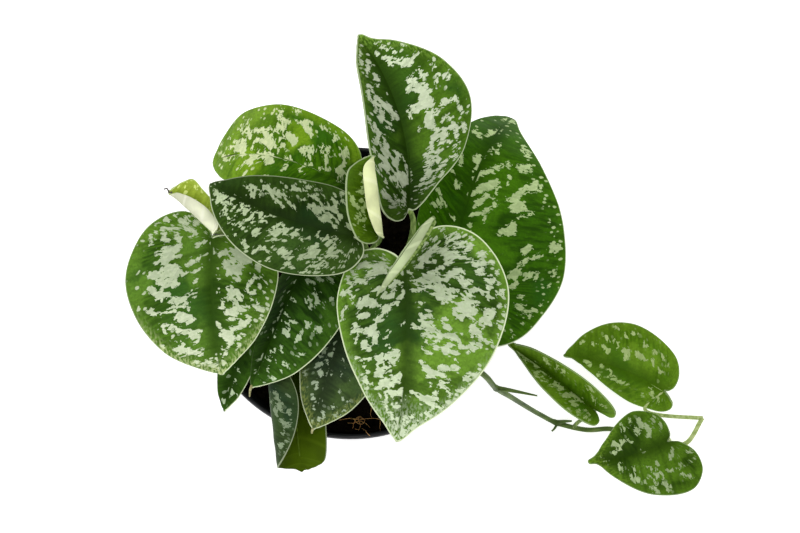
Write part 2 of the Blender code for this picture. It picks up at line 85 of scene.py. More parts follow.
class Finish:
    """A new material, its shader, and short ways to add nodes to it."""

    def __init__(self, name, roughness, **sockets):
        self.material = bpy.data.materials.new(name)
        self.material.use_nodes = True
        self.tree = self.material.node_tree
        self.shader = self.tree.nodes["Principled BSDF"]
        self.shader.inputs["Roughness"].default_value = roughness
        for socket, value in sockets.items():
            self.shader.inputs[socket.replace("_", " ")].default_value = value
        self.place = self.tree.nodes.new("ShaderNodeTexCoord").outputs["Object"]

    def join(self, source, socket):
        if isinstance(source, bpy.types.NodeSocket):
            self.tree.links.new(source, socket)
        elif source is not None:
            socket.default_value = source

    def sums(self, operation, first, second=None, third=None):
        node = self.tree.nodes.new("ShaderNodeMath")
        node.operation = operation
        for source, socket in zip((first, second, third), node.inputs):
            self.join(source, socket)
        return node.outputs[0]

    def vector(self, operation, first, second=None):
        node = self.tree.nodes.new("ShaderNodeVectorMath")
        node.operation = operation
        self.join(first, node.inputs[0])
        self.join(second, node.inputs[1])
        return node.outputs[0]

    def sized(self, place, size):
        """A place in units of a pattern's size across and down."""
        return self.vector("MULTIPLY", place, (1 / size[0], 1 / size[1], 1))

    def ease(self, value, low, high, start=0, end=1):
        """A smooth step from start to end as the value goes from low to high."""
        node = self.tree.nodes.new("ShaderNodeMapRange")
        node.interpolation_type = "SMOOTHSTEP"
        self.join(value, node.inputs["Value"])
        for socket, number in zip(("From Min", "From Max", "To Min", "To Max"), (low, high, start, end)):
            self.join(number, node.inputs[socket])
        return node.outputs["Result"]

    def cloud(self, scale, detail=2, place=None, colour=False):
        node = self.tree.nodes.new("ShaderNodeTexNoise")
        node.inputs["Scale"].default_value = scale
        node.inputs["Detail"].default_value = detail
        self.join(place or self.place, node.inputs["Vector"])
        return node.outputs["Color" if colour else "Fac"]

    def cells(self, scale, place=None, distance=False):
        node = self.tree.nodes.new("ShaderNodeTexVoronoi")
        node.inputs["Scale"].default_value = scale
        self.join(place or self.place, node.inputs["Vector"])
        return node.outputs["Distance" if distance else "Color"]

    def mix(self, share, first, second):
        node = self.tree.nodes.new("ShaderNodeMix")
        node.data_type = "RGBA"
        self.join(share, node.inputs["Factor"])
        self.join(first, node.inputs["A"])
        self.join(second, node.inputs["B"])
        return node.outputs["Result"]

    def part(self, colour, channel=0):
        node = self.tree.nodes.new("ShaderNodeSeparateColor")
        self.join(colour, node.inputs[0])
        return node.outputs[channel]

    def mark(self, name, vector=False):
        node = self.tree.nodes.new("ShaderNodeAttribute")
        node.attribute_name = name
        return node.outputs["Vector" if vector else "Fac"]

    def colour(self, source):
        self.join(source, self.shader.inputs["Base Color"])

    def rough(self, source):
        self.join(source, self.shader.inputs["Roughness"])

    def bump(self, height, strength, depth):
        node = self.tree.nodes.new("ShaderNodeBump")
        node.inputs["Strength"].default_value = strength
        node.inputs["Distance"].default_value = depth
        self.join(height, node.inputs["Height"])
        self.join(node.outputs["Normal"], self.shader.inputs["Normal"])


def ringed(name, profile, steps=ROUND_STEPS):
    """A round closed body from rings of (radius, height), drawn out from the first to the last."""
    bpy.ops.object.select_all(action="DESELECT")
    radius, height = profile[0]
    bpy.ops.mesh.primitive_circle_add(vertices=steps, radius=radius, location=(0, 0, height))
    body = bpy.context.object
    body.name = body.data.name = name
    bpy.ops.object.transform_apply(location=True, rotation=True, scale=True)
    bpy.ops.object.mode_set(mode="EDIT")
    bpy.ops.mesh.select_all(action="SELECT")
    for wide, high in profile[1:]:
        bpy.ops.mesh.extrude_edges_move(TRANSFORM_OT_translate={"value": (0, 0, high - height)})
        bpy.ops.transform.resize(value=(wide / radius, wide / radius, 1), center_override=(0, 0, high))
        radius, height = wide, high
    bpy.ops.mesh.select_all(action="SELECT")
    bpy.ops.mesh.fill_holes(sides=0)
    bpy.ops.mesh.normals_make_consistent(inside=False)
    bpy.ops.object.mode_set(mode="OBJECT")
    return body


def finish_piece(piece, slot, *nodes, angle=SHARP_ANGLE):
    """Smooths a finished piece, and puts it on the plant in place of its CAD nodes."""
    bpy.ops.object.select_all(action="DESELECT")
    piece.select_set(True)
    bpy.context.view_layer.objects.active = piece
    bpy.ops.object.shade_smooth_by_angle(angle=math.radians(angle))
    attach(piece, "root")
    if nodes:
        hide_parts(*nodes)


def apply_modifiers(piece):
    bpy.ops.object.select_all(action="DESELECT")
    piece.select_set(True)
    bpy.context.view_layer.objects.active = piece
    for modifier in list(piece.modifiers):
        bpy.ops.object.modifier_apply(modifier=modifier.name)


def outer_radius(height):
    """The pot's outer wall under the collar."""
    return BASE_RADIUS + (SHOULDER_RADIUS - BASE_RADIUS) * height / (POT_HEIGHT - COLLAR_DEPTH)


shoulder = POT_HEIGHT - COLLAR_DEPTH
lip_inside = RIM_RADIUS - LIP_WIDTH
pot = ringed("nursery_pot", [
    (0.5 * MM, FLOOR), (30 * MM, FLOOR), (outer_radius(FLOOR) - WALL, FLOOR),
    (SHOULDER_RADIUS - WALL, shoulder - 0.6 * MM), (SHOULDER_RADIUS - WALL + 0.3 * MM, shoulder + 0.5 * MM),
    (COLLAR_RADIUS - WALL, shoulder + 1.4 * MM), (lip_inside - 0.1 * MM, POT_HEIGHT - 1.6 * MM),
    (lip_inside, POT_HEIGHT - 0.7 * MM), (lip_inside + 0.35 * MM, POT_HEIGHT - 0.2 * MM),
    (lip_inside + 0.9 * MM, POT_HEIGHT), (RIM_RADIUS - 0.8 * MM, POT_HEIGHT),
    (RIM_RADIUS - 0.25 * MM, POT_HEIGHT - 0.25 * MM), (RIM_RADIUS, POT_HEIGHT - 0.8 * MM),
    (RIM_RADIUS, POT_HEIGHT - LIP_DEPTH), (RIM_RADIUS - 0.4 * MM, POT_HEIGHT - LIP_DEPTH - 0.4 * MM),
    (RIM_RADIUS - WALL, POT_HEIGHT - LIP_DEPTH - 0.5 * MM), (COLLAR_RADIUS + 0.3 * MM, shoulder + 1 * MM),
    (COLLAR_RADIUS, shoulder), (SHOULDER_RADIUS, shoulder - 0.9 * MM),
    (outer_radius(60 * MM), 60 * MM), (outer_radius(9 * MM), 9 * MM),
    (outer_radius(8 * MM) - 0.5 * MM, 8.2 * MM), (outer_radius(FLOOR) - 0.2 * MM, FLOOR),
    (BASE_RADIUS - 0.6 * MM, 0.3 * MM), (BASE_RADIUS - WALL, 0), (BASE_RADIUS - 4 * MM, 0),
    (BASE_RADIUS - 5 * MM, 0.6 * MM), (20 * MM, 0.6 * MM), (0.5 * MM, 0.6 * MM)])
for turn in range(DRAIN_HOLES):
    angle = 2 * math.pi * (turn + 0.5) / DRAIN_HOLES
    bpy.ops.object.select_all(action="DESELECT")
    bpy.ops.mesh.primitive_cylinder_add(
        vertices=32, radius=DRAIN_RADIUS, depth=4 * FLOOR,
        location=(DRAIN_CIRCLE * math.cos(angle), DRAIN_CIRCLE * math.sin(angle), FLOOR / 2))
    punch = bpy.context.object
    cut = pot.modifiers.new("Drain", "BOOLEAN")
    cut.object = punch
    cut.operation = "DIFFERENCE"
    apply_modifiers(pot)
    bpy.data.objects.remove(punch)

plastic = Finish("black_polypropylene", 0.4, Specular_IOR_Level=0.25)
flow = plastic.cloud(60, 3)
plastic.colour(plastic.mix(flow, paint(12, 13, 16), paint(23, 24, 29)))
plastic.rough(plastic.ease(plastic.cloud(400, 4), 0.3, 0.7, 0.34, 0.5))
plastic.bump(plastic.cloud(1500, 2), 0.12, 0.1 * MM)
pot.data.materials.append(plastic.material)
finish_piece(pot, "black_plastic", "pot")

# The potting soil: dark damp peat, filled in to 23 mm under the rim. It is lumpy on top, with loose crumbs,
# and a few orange root and coir fibres show at the front.
SOIL_TOP = 92 * MM
SOIL_LUMP = 1.6 * MM
SOIL_EDGE_RISE = 1.0 * MM
SOIL_LUMP_REACH = 68 * MM
SOIL_LUMP_FADE = 12 * MM
SOIL_GRAIN = 4 * MM
SOIL_FINE_GRAIN = 1.7 * MM
SOIL_ROUGHNESS = 0.7 * MM
SOIL_GAP = 0.39 * MM
SOIL_RINGS = 44
CRUMBS = 900
CRUMB_KINDS = 3
CRUMB_SIZES = (0.5, 0.7, 0.7, 1.0, 1.0, 1.5)
CRUMB_REACH = 66 * MM


def soil_height(x, y):
    """Lumps on the soil's top, a sum of waves, fading out at the wall."""
    radius = math.hypot(x, y)
    fade = min(1, max(0, (SOIL_LUMP_REACH - radius) / SOIL_LUMP_FADE))
    waves = (math.sin(x / (9 * MM) + 1.1) * math.cos(y / (11 * MM)) + 0.6 * math.sin((x + 2 * y) / (13 * MM))
             + 0.5 * math.cos((2 * x - y) / (10 * MM) + 0.4))
    return SOIL_TOP + SOIL_EDGE_RISE * (1 - fade) + SOIL_LUMP * fade * waves


def rough_soil(x, y):
    """The same lumps with their fine grain."""
    coarse = noise.noise((x / SOIL_GRAIN, y / SOIL_GRAIN, 0))
    fine = noise.noise((x / SOIL_FINE_GRAIN, y / SOIL_FINE_GRAIN, 5))
    return soil_height(x, y) + SOIL_ROUGHNESS * (coarse + 0.6 * fine)


soil_wall = outer_radius(SOIL_TOP) - WALL - SOIL_GAP
soil_foot = outer_radius(FLOOR) - WALL - SOIL_GAP
soil = ringed("potting_soil", [(0.5 * MM, FLOOR + 0.3 * MM), (soil_foot, FLOOR + 0.3 * MM)]
              + [(soil_wall * (SOIL_RINGS - ring) / SOIL_RINGS, SOIL_TOP) for ring in range(SOIL_RINGS)])
for vert in soil.data.vertices:
    if vert.co.z > SOIL_TOP - MM:
        vert.co.z = rough_soil(vert.co.x, vert.co.y)
peat = Finish("damp_peat", 0.95, Specular_IOR_Level=0.03)
peat.colour(peat.mix(peat.ease(peat.cloud(220, 5), 0.35, 0.7), paint(5, 4, 3), paint(28, 21, 15)))
peat.bump(peat.cloud(900, 4), 0.6, 0.6 * MM)
soil.data.materials.append(peat.material)
finish_piece(soil, "peat_soil", "soil")

random.seed(11)
crumb_shapes = []
for _ in range(CRUMB_KINDS):
    bpy.ops.object.select_all(action="DESELECT")
    bpy.ops.mesh.primitive_ico_sphere_add(subdivisions=1, radius=1)
    shape = bpy.context.object
    for vert in shape.data.vertices:
        vert.co *= random.uniform(0.65, 1.15)
        vert.co.z *= 0.7
    crumb_shapes.append(shape)
crumbs = []
for count in range(CRUMBS):
    shape = crumb_shapes[count % CRUMB_KINDS]
    crumb = shape.copy()
    crumb.data = shape.data.copy()
    bpy.context.scene.collection.objects.link(crumb)
    reach = CRUMB_REACH * math.sqrt(random.random())
    angle = random.uniform(0, 2 * math.pi)
    x, y = reach * math.cos(angle), reach * math.sin(angle)
    size = random.choice(CRUMB_SIZES) * MM
    crumb.scale = (size, size * random.uniform(0.6, 1), size)
    crumb.rotation_euler = (random.uniform(-0.5, 0.5), random.uniform(-0.5, 0.5), random.uniform(0, 6))
    crumb.location = (x, y, rough_soil(x, y) + 0.25 * size)
    crumbs.append(crumb)
for shape in crumb_shapes:
    bpy.data.objects.remove(shape)


def joined(pieces, name):
    """Several pieces made one, with its place in its mesh."""
    bpy.ops.object.select_all(action="DESELECT")
    for piece in pieces:
        piece.select_set(True)
    bpy.context.view_layer.objects.active = pieces[0]
    bpy.ops.object.join()
    bpy.ops.object.transform_apply(location=True, rotation=True, scale=True)
    whole = bpy.context.object
    whole.name = whole.data.name = name
    return whole


crumb_heap = joined(crumbs, "soil_crumbs")
crumb_finish = Finish("peat_crumbs", 0.95, Specular_IOR_Level=0.03)
crumb_finish.colour(crumb_finish.mix(crumb_finish.cloud(300, 2), paint(8, 6, 4), paint(38, 28, 19)))
crumb_heap.data.materials.append(crumb_finish.material)
finish_piece(crumb_heap, "peat_soil", angle=25)


def bar(name, path, radii, sides=12):
    """A round bar along a path in mm with a radius in mm at each point, drawn as a curve and made a mesh."""
    bpy.ops.object.select_all(action="DESELECT")
    bpy.ops.curve.primitive_bezier_curve_add()
    guide = bpy.context.object
    guide.data.splines.clear()
    spline = guide.data.splines.new("POLY")
    spline.points.add(len(path) - 1)
    for point, place, radius in zip(spline.points, path, radii):
        point.co = (*(np.array(place, float) * MM), 1)
        point.radius = float(radius)
    guide.data.bevel_depth = MM
    guide.data.bevel_resolution = sides // 4
    guide.data.use_fill_caps = True
    bpy.ops.object.convert(target="MESH")
    piece = bpy.context.object
    piece.name = piece.data.name = name
    return piece


def smooth_curve(points, per_span=16):
    """Centripetal Catmull-Rom curve through the points, as an array."""
    given = np.array(points, float)
    path = np.vstack([2 * given[0] - given[1], given, 2 * given[-1] - given[-2]])
    found = []
    for i in range(1, len(path) - 2):
        a, b, c, d = path[i - 1:i + 3]
        t0 = 0.0
        t1 = t0 + np.linalg.norm(b - a) ** 0.5
        t2 = t1 + np.linalg.norm(c - b) ** 0.5
        t3 = t2 + np.linalg.norm(d - c) ** 0.5
        t = np.linspace(t1, t2, per_span, endpoint=False)[:, None]
        ab = (t1 - t) / (t1 - t0) * a + (t - t0) / (t1 - t0) * b
        bc = (t2 - t) / (t2 - t1) * b + (t - t1) / (t2 - t1) * c
        cd = (t3 - t) / (t3 - t2) * c + (t - t2) / (t3 - t2) * d
        abc = (t2 - t) / (t2 - t0) * ab + (t - t0) / (t2 - t0) * bc
        bcd = (t3 - t) / (t3 - t1) * bc + (t - t1) / (t3 - t1) * cd
        found.append((t2 - t) / (t2 - t1) * abc + (t - t1) / (t2 - t1) * bcd)
    found.append(path[-2][None])
    return np.vstack(found)


def lengths_to(path):
    """How far along a path each of its points lies."""
    return np.concatenate([[0], np.cumsum(np.linalg.norm(np.diff(path, axis=0), axis=1))])


def along(path, shares):
    """Points at the given shares of a path's length."""
    far = lengths_to(path)
    return np.stack([np.interp(shares, far / far[-1], path[:, axis]) for axis in range(path.shape[1])], -1)


def even_curve(points, count):
    return along(smooth_curve(points), np.linspace(0, 1, count))


# Threads of root and coir at the front, as points in mm. One of them leans on the lip.
FIBRE_POINTS = 26
FIBRE_STRAY = 0.3
FIBRE_RADII = (0.2, 0.1)
FIBRES = [
    [(-6, -61.5, 95), (-1, -61, 96.5), (4, -61.6, 96), (9, -61, 96.6), (17, -61.6, 95)],
    [(-1, -60.6, 94), (1, -61.4, 97), (3, -63.6, 97.4), (5.4, -64, 97), (6.6, -62, 97), (4, -60.6, 96),
     (2, -61.6, 95)],
    [(0.6, -65.4, 94), (1.4, -63, 96.6), (2.6, -61, 97.4), (4.4, -60, 96), (6, -60.6, 94)],
    [(-2, -62.8, 94), (1, -63.4, 96.5), (4, -62.6, 97.2), (6.8, -63.2, 96), (9, -65, 94)],
    [(3.6, -66.6, 94), (4.4, -64.4, 96.6), (3.4, -61.8, 97.6), (4.2, -59.4, 95)],
    [(9.6, -55, 94), (9.8, -56.6, 97), (9.5, -58.4, 97.6), (9.8, -60, 94.6)],
    [(14, -61.6, 94), (14.3, -63, 97), (14, -65.4, 98), (14.4, -67.6, 95)],
    [(5.4, -65.6, 94), (6.4, -68, 102), (7.2, -70.4, 112), (8, -72.2, 115.4), (9.4, -73.9, 115)],
    [(1.6, -65.6, 93.6), (2.4, -66.4, 95.6), (3.2, -66, 93.8)],
]
threads = []
for count, points in enumerate(FIBRES):
    path = even_curve(points, FIBRE_POINTS)
    path += [[FIBRE_STRAY * noise.noise((count, k / 3, axis)) for axis in range(3)]
             for k in range(FIBRE_POINTS)]
    threads.append(bar(f"thread_{count}", path, np.linspace(*FIBRE_RADII, FIBRE_POINTS), sides=4))
fibres = joined(threads, "root_fibres")
coir = Finish("orange_root", 0.8)
coir.colour(coir.mix(coir.cloud(500, 2), paint(176, 108, 50), paint(244, 196, 128)))
fibres.data.materials.append(coir.material)
finish_piece(fibres, "peat_soil", angle=60)

# The stems: green, fleshy, about 4 mm thick and thinner upwards. Each is rooted in its own hole in the soil,
# and has a swollen ring at every node, where a leaf can grow.
STEMS = {
    "stem_front": ([(20, -10, 76), (21, -9, 110), (20, -7, 140), (21, -8, 162)], 2.2),
    "stem_centre": ([(8, -8, 76), (9, -6, 110), (10, -3, 150), (11, -1, 182)], 2.2),
    "stem_rear": ([(-4, 20, 76), (-2, 21, 105), (1, 22, 135)], 2.2),
    "stem_left": ([(-28, -2, 76), (-33, 0, 110), (-42, 6, 140), (-48, 11, 156)], 2.2),
    "stem_low_centre": ([(-2, -20, 76), (-1, -22, 105), (0, -23, 122)], 2.0),
    "stem_low_left": ([(-29, -26, 76), (-32, -29, 100), (-34, -31, 114)], 2.0),
}
STEM_POINTS = 70
STEM_TAPER = (1.1, 0.9)
STEM_BETWEEN_NODES = 0.94
NODE_SPACING = 17
NODE_SWELL = 0.16
NODE_WIDTH = 1.1


def tapering(radius, count, ends=STEM_TAPER):
    return np.linspace(radius * ends[0], radius * ends[1], count)


def noded(path, radius):
    """Radii along a stem in mm, tapering, with a swollen ring at each node."""
    off = (lengths_to(path) + NODE_SPACING / 2) % NODE_SPACING - NODE_SPACING / 2
    return tapering(radius, len(path)) * (STEM_BETWEEN_NODES + NODE_SWELL * np.exp(-(off / NODE_WIDTH) ** 2))


def stem_finish(name, dark, light):
    """Green skin, streaked along the stem."""
    stem = Finish(name, 0.45, Specular_IOR_Level=0.12)
    streaks = stem.cloud(1, 3, stem.vector("MULTIPLY", stem.place, (700, 700, 90)))
    stem.colour(stem.mix(stem.ease(streaks, 0.3, 0.7), paint(*dark), paint(*light)))
    stem.bump(stem.cloud(1200, 2), 0.2, 0.1 * MM)
    return stem.material


green_stem = stem_finish("green_stem", (48, 70, 30), (104, 128, 66))
stem_paths = {}
for name, (points, radius) in STEMS.items():
    path = even_curve(points, STEM_POINTS)
    stem_paths[name] = path
    stem = bar(name.replace("stem", "green_stem"), path, noded(path, radius), sides=16)
    stem.data.materials.append(green_stem)
    finish_piece(stem, "stem", name)

# The trailing vine: one long thin green stem that comes up at the right, goes over the rim and down to the
# floor, and lies along it. Two nodes carry a short spur, and the lower of them a stub of root too. The last
# stretch is young and pale.
VINE_RADIUS = 1.4
VINE_POINTS = 260
VINE_OFF_FLOOR = 0.05
VINE = [
    (44, -8, 76), (45, -12, 98), (48, -22, 112), (54, -34, 117.2), (61.8, -41.4, 117.4), (66, -43.6, 112),
    (72, -43.5, 88), (81, -41.5, 60), (90, -40.2, 34), (99.6, -40.3, 13), (108.9, -42.6, 3.8), (125, -46, 2),
    (138, -45.5, 2), (153.5, -49.4, 2), (168.5, -54.4, 2.6), (178, -53.9, 5), (186.3, -41.7, 12)]
# The nodes' places in mm, with how much thicker the vine is there, then what grows from them, with two
# radii.
VINE_NODES = [((72, -43.5, 88), 0.25), ((108.9, -42.6, 3.8), 0.25), ((168.5, -54.4, 2.6), 0.2)]
VINE_NODE_WIDTH = 2.2
VINE_SPURS = {
    "spur_upper": ([(72, -43.5, 88), (80, -45, 88.5), (92.5, -48, 90)], 1.4, 0.4),
    "spur_lower": ([(108.5, -42.4, 4), (113, -42.3, 6.5), (116.5, -42.5, 8)], 1.4, 0.5),
    "root_lower": ([(109, -43, 4), (107.5, -45.5, 3.4), (106, -47, 2.8)], 0.8, 0.5),
}
VINE_TURNS_PALE = (166 * MM, 178 * MM)


def tapered(name, points, thick, thin, count=16):
    """A round bar through the points, from one radius to another."""
    return bar(name, even_curve(points, count), np.linspace(thick, thin, count))


path = even_curve(VINE, VINE_POINTS)
stem_paths["vine"] = path
lengths = lengths_to(path)
radii = tapering(VINE_RADIUS, VINE_POINTS)
for place, thicker in VINE_NODES:
    at = lengths[np.argmin(np.linalg.norm(path - np.array(place), axis=1))]
    radii *= 1 + thicker * np.exp(-((lengths - at) / VINE_NODE_WIDTH) ** 2)
radii = np.minimum(radii, path[:, 2] - VINE_OFF_FLOOR)
vine = joined([bar("vine_stem", path, radii, sides=16)]
              + [tapered(name, *spur) for name, spur in VINE_SPURS.items()], "trailing_vine")
vine_bark = Finish("vine_skin", 0.45, Specular_IOR_Level=0.12)
east = vine_bark.tree.nodes.new("ShaderNodeSeparateXYZ")
vine_bark.join(vine_bark.place, east.inputs[0])
streaks = vine_bark.cloud(1, 3, vine_bark.vector("MULTIPLY", vine_bark.place, (120, 500, 90)))
streaks = vine_bark.ease(streaks, 0.2, 0.8)
old = vine_bark.mix(streaks, paint(48, 70, 24), paint(112, 136, 70))
young = vine_bark.mix(streaks, paint(144, 168, 84), paint(212, 224, 160))
dry = vine_bark.sums("MULTIPLY", vine_bark.ease(vine_bark.cloud(260, 3), 0.62, 0.72), 0.3)
old = vine_bark.mix(dry, old, paint(132, 122, 92))
vine_bark.colour(vine_bark.mix(vine_bark.ease(east.outputs["X"], *VINE_TURNS_PALE), old, young))
vine_bark.bump(streaks, 0.2, 0.1 * MM)
vine.data.materials.append(vine_bark.material)
finish_piece(vine, "stem", "vine")

# The leaves: each is a thick satin blade that grew on its own petiole, folded along a sunk midrib, with side
# veins that swing out to the margin and silver splashes that lie between them. The front leaf comes first:
# it lies on top of the other full-grown leaves.
BLADE = 0.8
FOLD_WIDTH = 4.0
DROOP_START = 0.6
RIB_START = 0.95
RIB_END = 0.3
RIB_SHARE = 0.85
RIB_DEPTH = 0.95
RIB_POINTS = 30
PETIOLE_POINTS = 30
PETIOLE_TAPER = (1.15, 0.9)
MIDRIB_SINK = 0.35
MIDRIB_WIDTH = 2.0
QUILT = 0.1
MARGIN_WAVE = 11
MARGIN_RIPPLE = 6.1
# Pixels of the photograph: how softly a silver streak ends, and how near one a point counts as seen there.
STREAK_EDGE = 6.0
STREAK_REACH = 16
# Patterns on a blade: their size in mm across and along the side veins, how far their edges stray, and the
# gap that keeps them from being the same on both halves.
COARSE_EDGE = (1.5, 3)
FINE_EDGE = (0.6, 1.1)
SHADE_CELLS = (1.3, 2.6)
FLECK_CELLS = (2.2, 3.2)
GREEN_STREAKS = (1.8, 12)
HIDDEN_SPLASHES = (9, 13)
DUST_GRAINS = (0.9, 2)
RAGGED = 1.3
HALVES_APART = 60
SATIN = 0.03
# The pale margin's colour, which also stands for a painted highlight where the margin catches the light.
CREAM = (228, 240, 198)


@dataclass
class Leaf:
    """A blade from base to tip in mm, with its left and right halves as seen looking along it from above."""
    base: tuple
    tip: tuple
    half: tuple
    stem: str
    share: float
    leave: tuple
    reach: tuple
    lift: float = 3
    side: float = 0
    drop: float = 0
    roll: float = 0
    fold: tuple = (5, 5)
    curl: tuple = (-10, -10)
    lobe: tuple = (0.2, 0.2)
    shoulder: tuple = (0.2, 0.2)
    blunt: tuple = (0, 0)
    wedge: tuple = (0, 0)
    petiole: float = 1.3
    rows: int = 130
    columns: int = 50
    veins: int = 10
    wave: float = 0.3


def outline(shares, lobe, shoulder, blunt, wedge):
    """Half a heart shape from base to tip: share of the half width and share of the length."""
    rest = 1 - shoulder
    slim = shoulder - 0.2
    corners = [(0, 0), (0.09, -0.55 * lobe), (0.38, 0.15 * slim - lobe + 0.08 * wedge),
               (0.78, 0.55 * slim - 0.45 * lobe + 0.12 * wedge), (1, shoulder),
               (0.91 + 0.3 * blunt, 1 - 0.65 * rest), (0.62 + blunt, 1 - 0.3 * rest),
               (0.27 + 0.8 * blunt, 1 - 0.106 * rest), (0.05 + 0.1 * max(blunt, 0), 1 - 0.019 * rest),
               (0, 1)]
    return along(smooth_curve(corners, 24), shares)


def half_blade(leaf, index):
    """Grid of one half: rows along the outline, columns along the lateral veins from midrib to margin."""
    shares = np.linspace(1 / (leaf.rows + 1), 1, leaf.rows + 1)
    edge = outline(shares, leaf.lobe[index], leaf.shoulder[index], leaf.blunt[index], leaf.wedge[index])
    low = np.clip(1 - 2 * edge[:, 1], 0, 1)
    start = (min(leaf.shoulder[index], 0.2) + 0.03) * (1 - leaf.wedge[index] * low)
    root = np.maximum.accumulate(np.clip((edge[:, 1] - start) / (1 - start), 0, 1))
    bend = np.stack([0.5 * edge[:, 0], root + 0.38 * (edge[:, 1] - root)], -1)
    root = np.stack([np.zeros(leaf.rows + 1), root], -1)
    v = np.linspace(0, 1, leaf.columns + 1)[None, :, None]
    return (1 - v) ** 2 * root[:, None] + 2 * v * (1 - v) * bend[:, None] + v ** 2 * edge[:, None]


def midrib(leaf, share):
    """Points in mm, directions and the upward axis of the midrib at shares of its length."""
    base, tip = np.array(leaf.base, float), np.array(leaf.tip, float)
    run = tip - base
    right = np.cross(run, (0, 0, 1))
    right /= np.linalg.norm(right)
    up = np.cross(right, run / np.linalg.norm(run))
    bow = base + run / 2 + up * leaf.lift * 2 + right * leaf.side * 2
    t = np.clip(share, 0, None)[..., None]
    back = np.clip(share, None, 0)[..., None]
    place = (1 - t) ** 2 * base + 2 * t * (1 - t) * bow + t ** 2 * tip + back * 2 * (bow - base)
    heading = 2 * (1 - t) * (bow - base) + 2 * t * (tip - bow)
    droop = np.clip((t - DROOP_START) / (1 - DROOP_START), 0, None)
    place = place - up * leaf.drop * droop ** 2
    heading = heading - up * leaf.drop * 2 * droop / (1 - DROOP_START)
    return place, heading / np.linalg.norm(heading, axis=-1, keepdims=True), up


def rolled_axes(leaf, share):
    """Points of the midrib, and the blade's own axes there, one out along it and one up from its face."""
    place, heading, up = midrib(leaf, share)
    normal = up - heading * (heading @ up)[..., None]
    normal /= np.linalg.norm(normal, axis=-1, keepdims=True)
    sideways = np.cross(heading, normal)
    roll = math.radians(leaf.roll)
    return (place, sideways * math.cos(roll) + normal * math.sin(roll),
            normal * math.cos(roll) - sideways * math.sin(roll))


def blade_points(leaf, index, across, share):
    """Places in mm of points on one half, from their share of the half width and of the length."""
    place, out, top = rolled_axes(leaf, share)
    reach = across * leaf.half[index]
    flatter = np.clip(reach[..., -1:] / FOLD_WIDTH, 0.2, 1)
    fold = math.radians(leaf.fold[index]) * flatter
    turn = math.radians(leaf.curl[index]) / leaf.half[index]
    if turn:
        flat = (np.sin(fold + turn * reach) - np.sin(fold)) / turn
        rise = (np.cos(fold) - np.cos(fold + turn * reach)) / turn
    else:
        flat = reach * np.cos(fold)
        rise = reach * np.sin(fold)
    sign = 1 if index else -1
    turned = fold + turn * reach
    face = top * np.cos(turned)[..., None] - out * (sign * np.sin(turned))[..., None]
    return place + out * (sign * flat)[..., None] + top * rise[..., None], face


def petiole_path(leaf, stem_path):
    """Petiole from inside the stem to the middle of the blade's base, with its radii in mm."""
    foot = along(stem_path, np.array([leaf.share]))[0]
    heading = stem_path[-1] - stem_path[-2]
    heading /= np.linalg.norm(heading)
    if leaf.leave[:2] == (0, 0):
        first = foot + heading * leaf.leave[2]
    else:
        first = foot + np.array(leaf.leave, float)
    base = np.array(leaf.base, float)
    t = np.linspace(0, 1, PETIOLE_POINTS)[:, None]
    path = ((1 - t) ** 3 * foot + 3 * t * (1 - t) ** 2 * first
            + 3 * t ** 2 * (1 - t) * (base + np.array(leaf.reach, float)) + t ** 3 * base)
    return path, tapering(leaf.petiole, PETIOLE_POINTS, PETIOLE_TAPER)


def rib_path(leaf):
    """The rib under the blade, from behind the petiole's end towards the tip, with its radii in mm."""
    shares = np.linspace(0, RIB_SHARE, RIB_POINTS)
    radii = np.linspace(RIB_START, RIB_END, RIB_POINTS)
    place, _, top = rolled_axes(leaf, shares)
    return place - top * (MIDRIB_SINK + radii * RIB_DEPTH)[:, None], radii


def photo_places(points):
    """Where points in metres come in the photograph's frame, in pixels."""
    away = points - CAMERA_PLACE
    across = away[..., 0]
    up = away[..., 1] * math.cos(VIEW_TILT) + away[..., 2] * math.sin(VIEW_TILT)
    depth = away[..., 1] * math.sin(VIEW_TILT) - away[..., 2] * math.cos(VIEW_TILT)
    return np.stack([PHOTO_SIZE[0] / 2 + LENS_PIXELS * across / depth,
                     PHOTO_SIZE[1] / 2 - LENS_PIXELS * up / depth], -1)


def silver_marks(points, streaks):
    """How far each point lies inside the leaf's silver streaks, and how far out of their sight."""
    places = photo_places(points * MM)
    off = np.full(len(points), 100.0)
    for x0, y0, x1, y1, width in streaks:
        start, run = np.array([x0, y0]), np.array([x1 - x0, y1 - y0])
        share = np.clip((places - start) @ run / max(run @ run, 1e-6), 0, 1)
        off = np.minimum(off, np.linalg.norm(places - start - share[:, None] * run, axis=1) - width / 2)
    return np.clip(0.5 - off / STREAK_EDGE, 0, 1), np.clip(off / STREAK_REACH - 1, 0, 1)


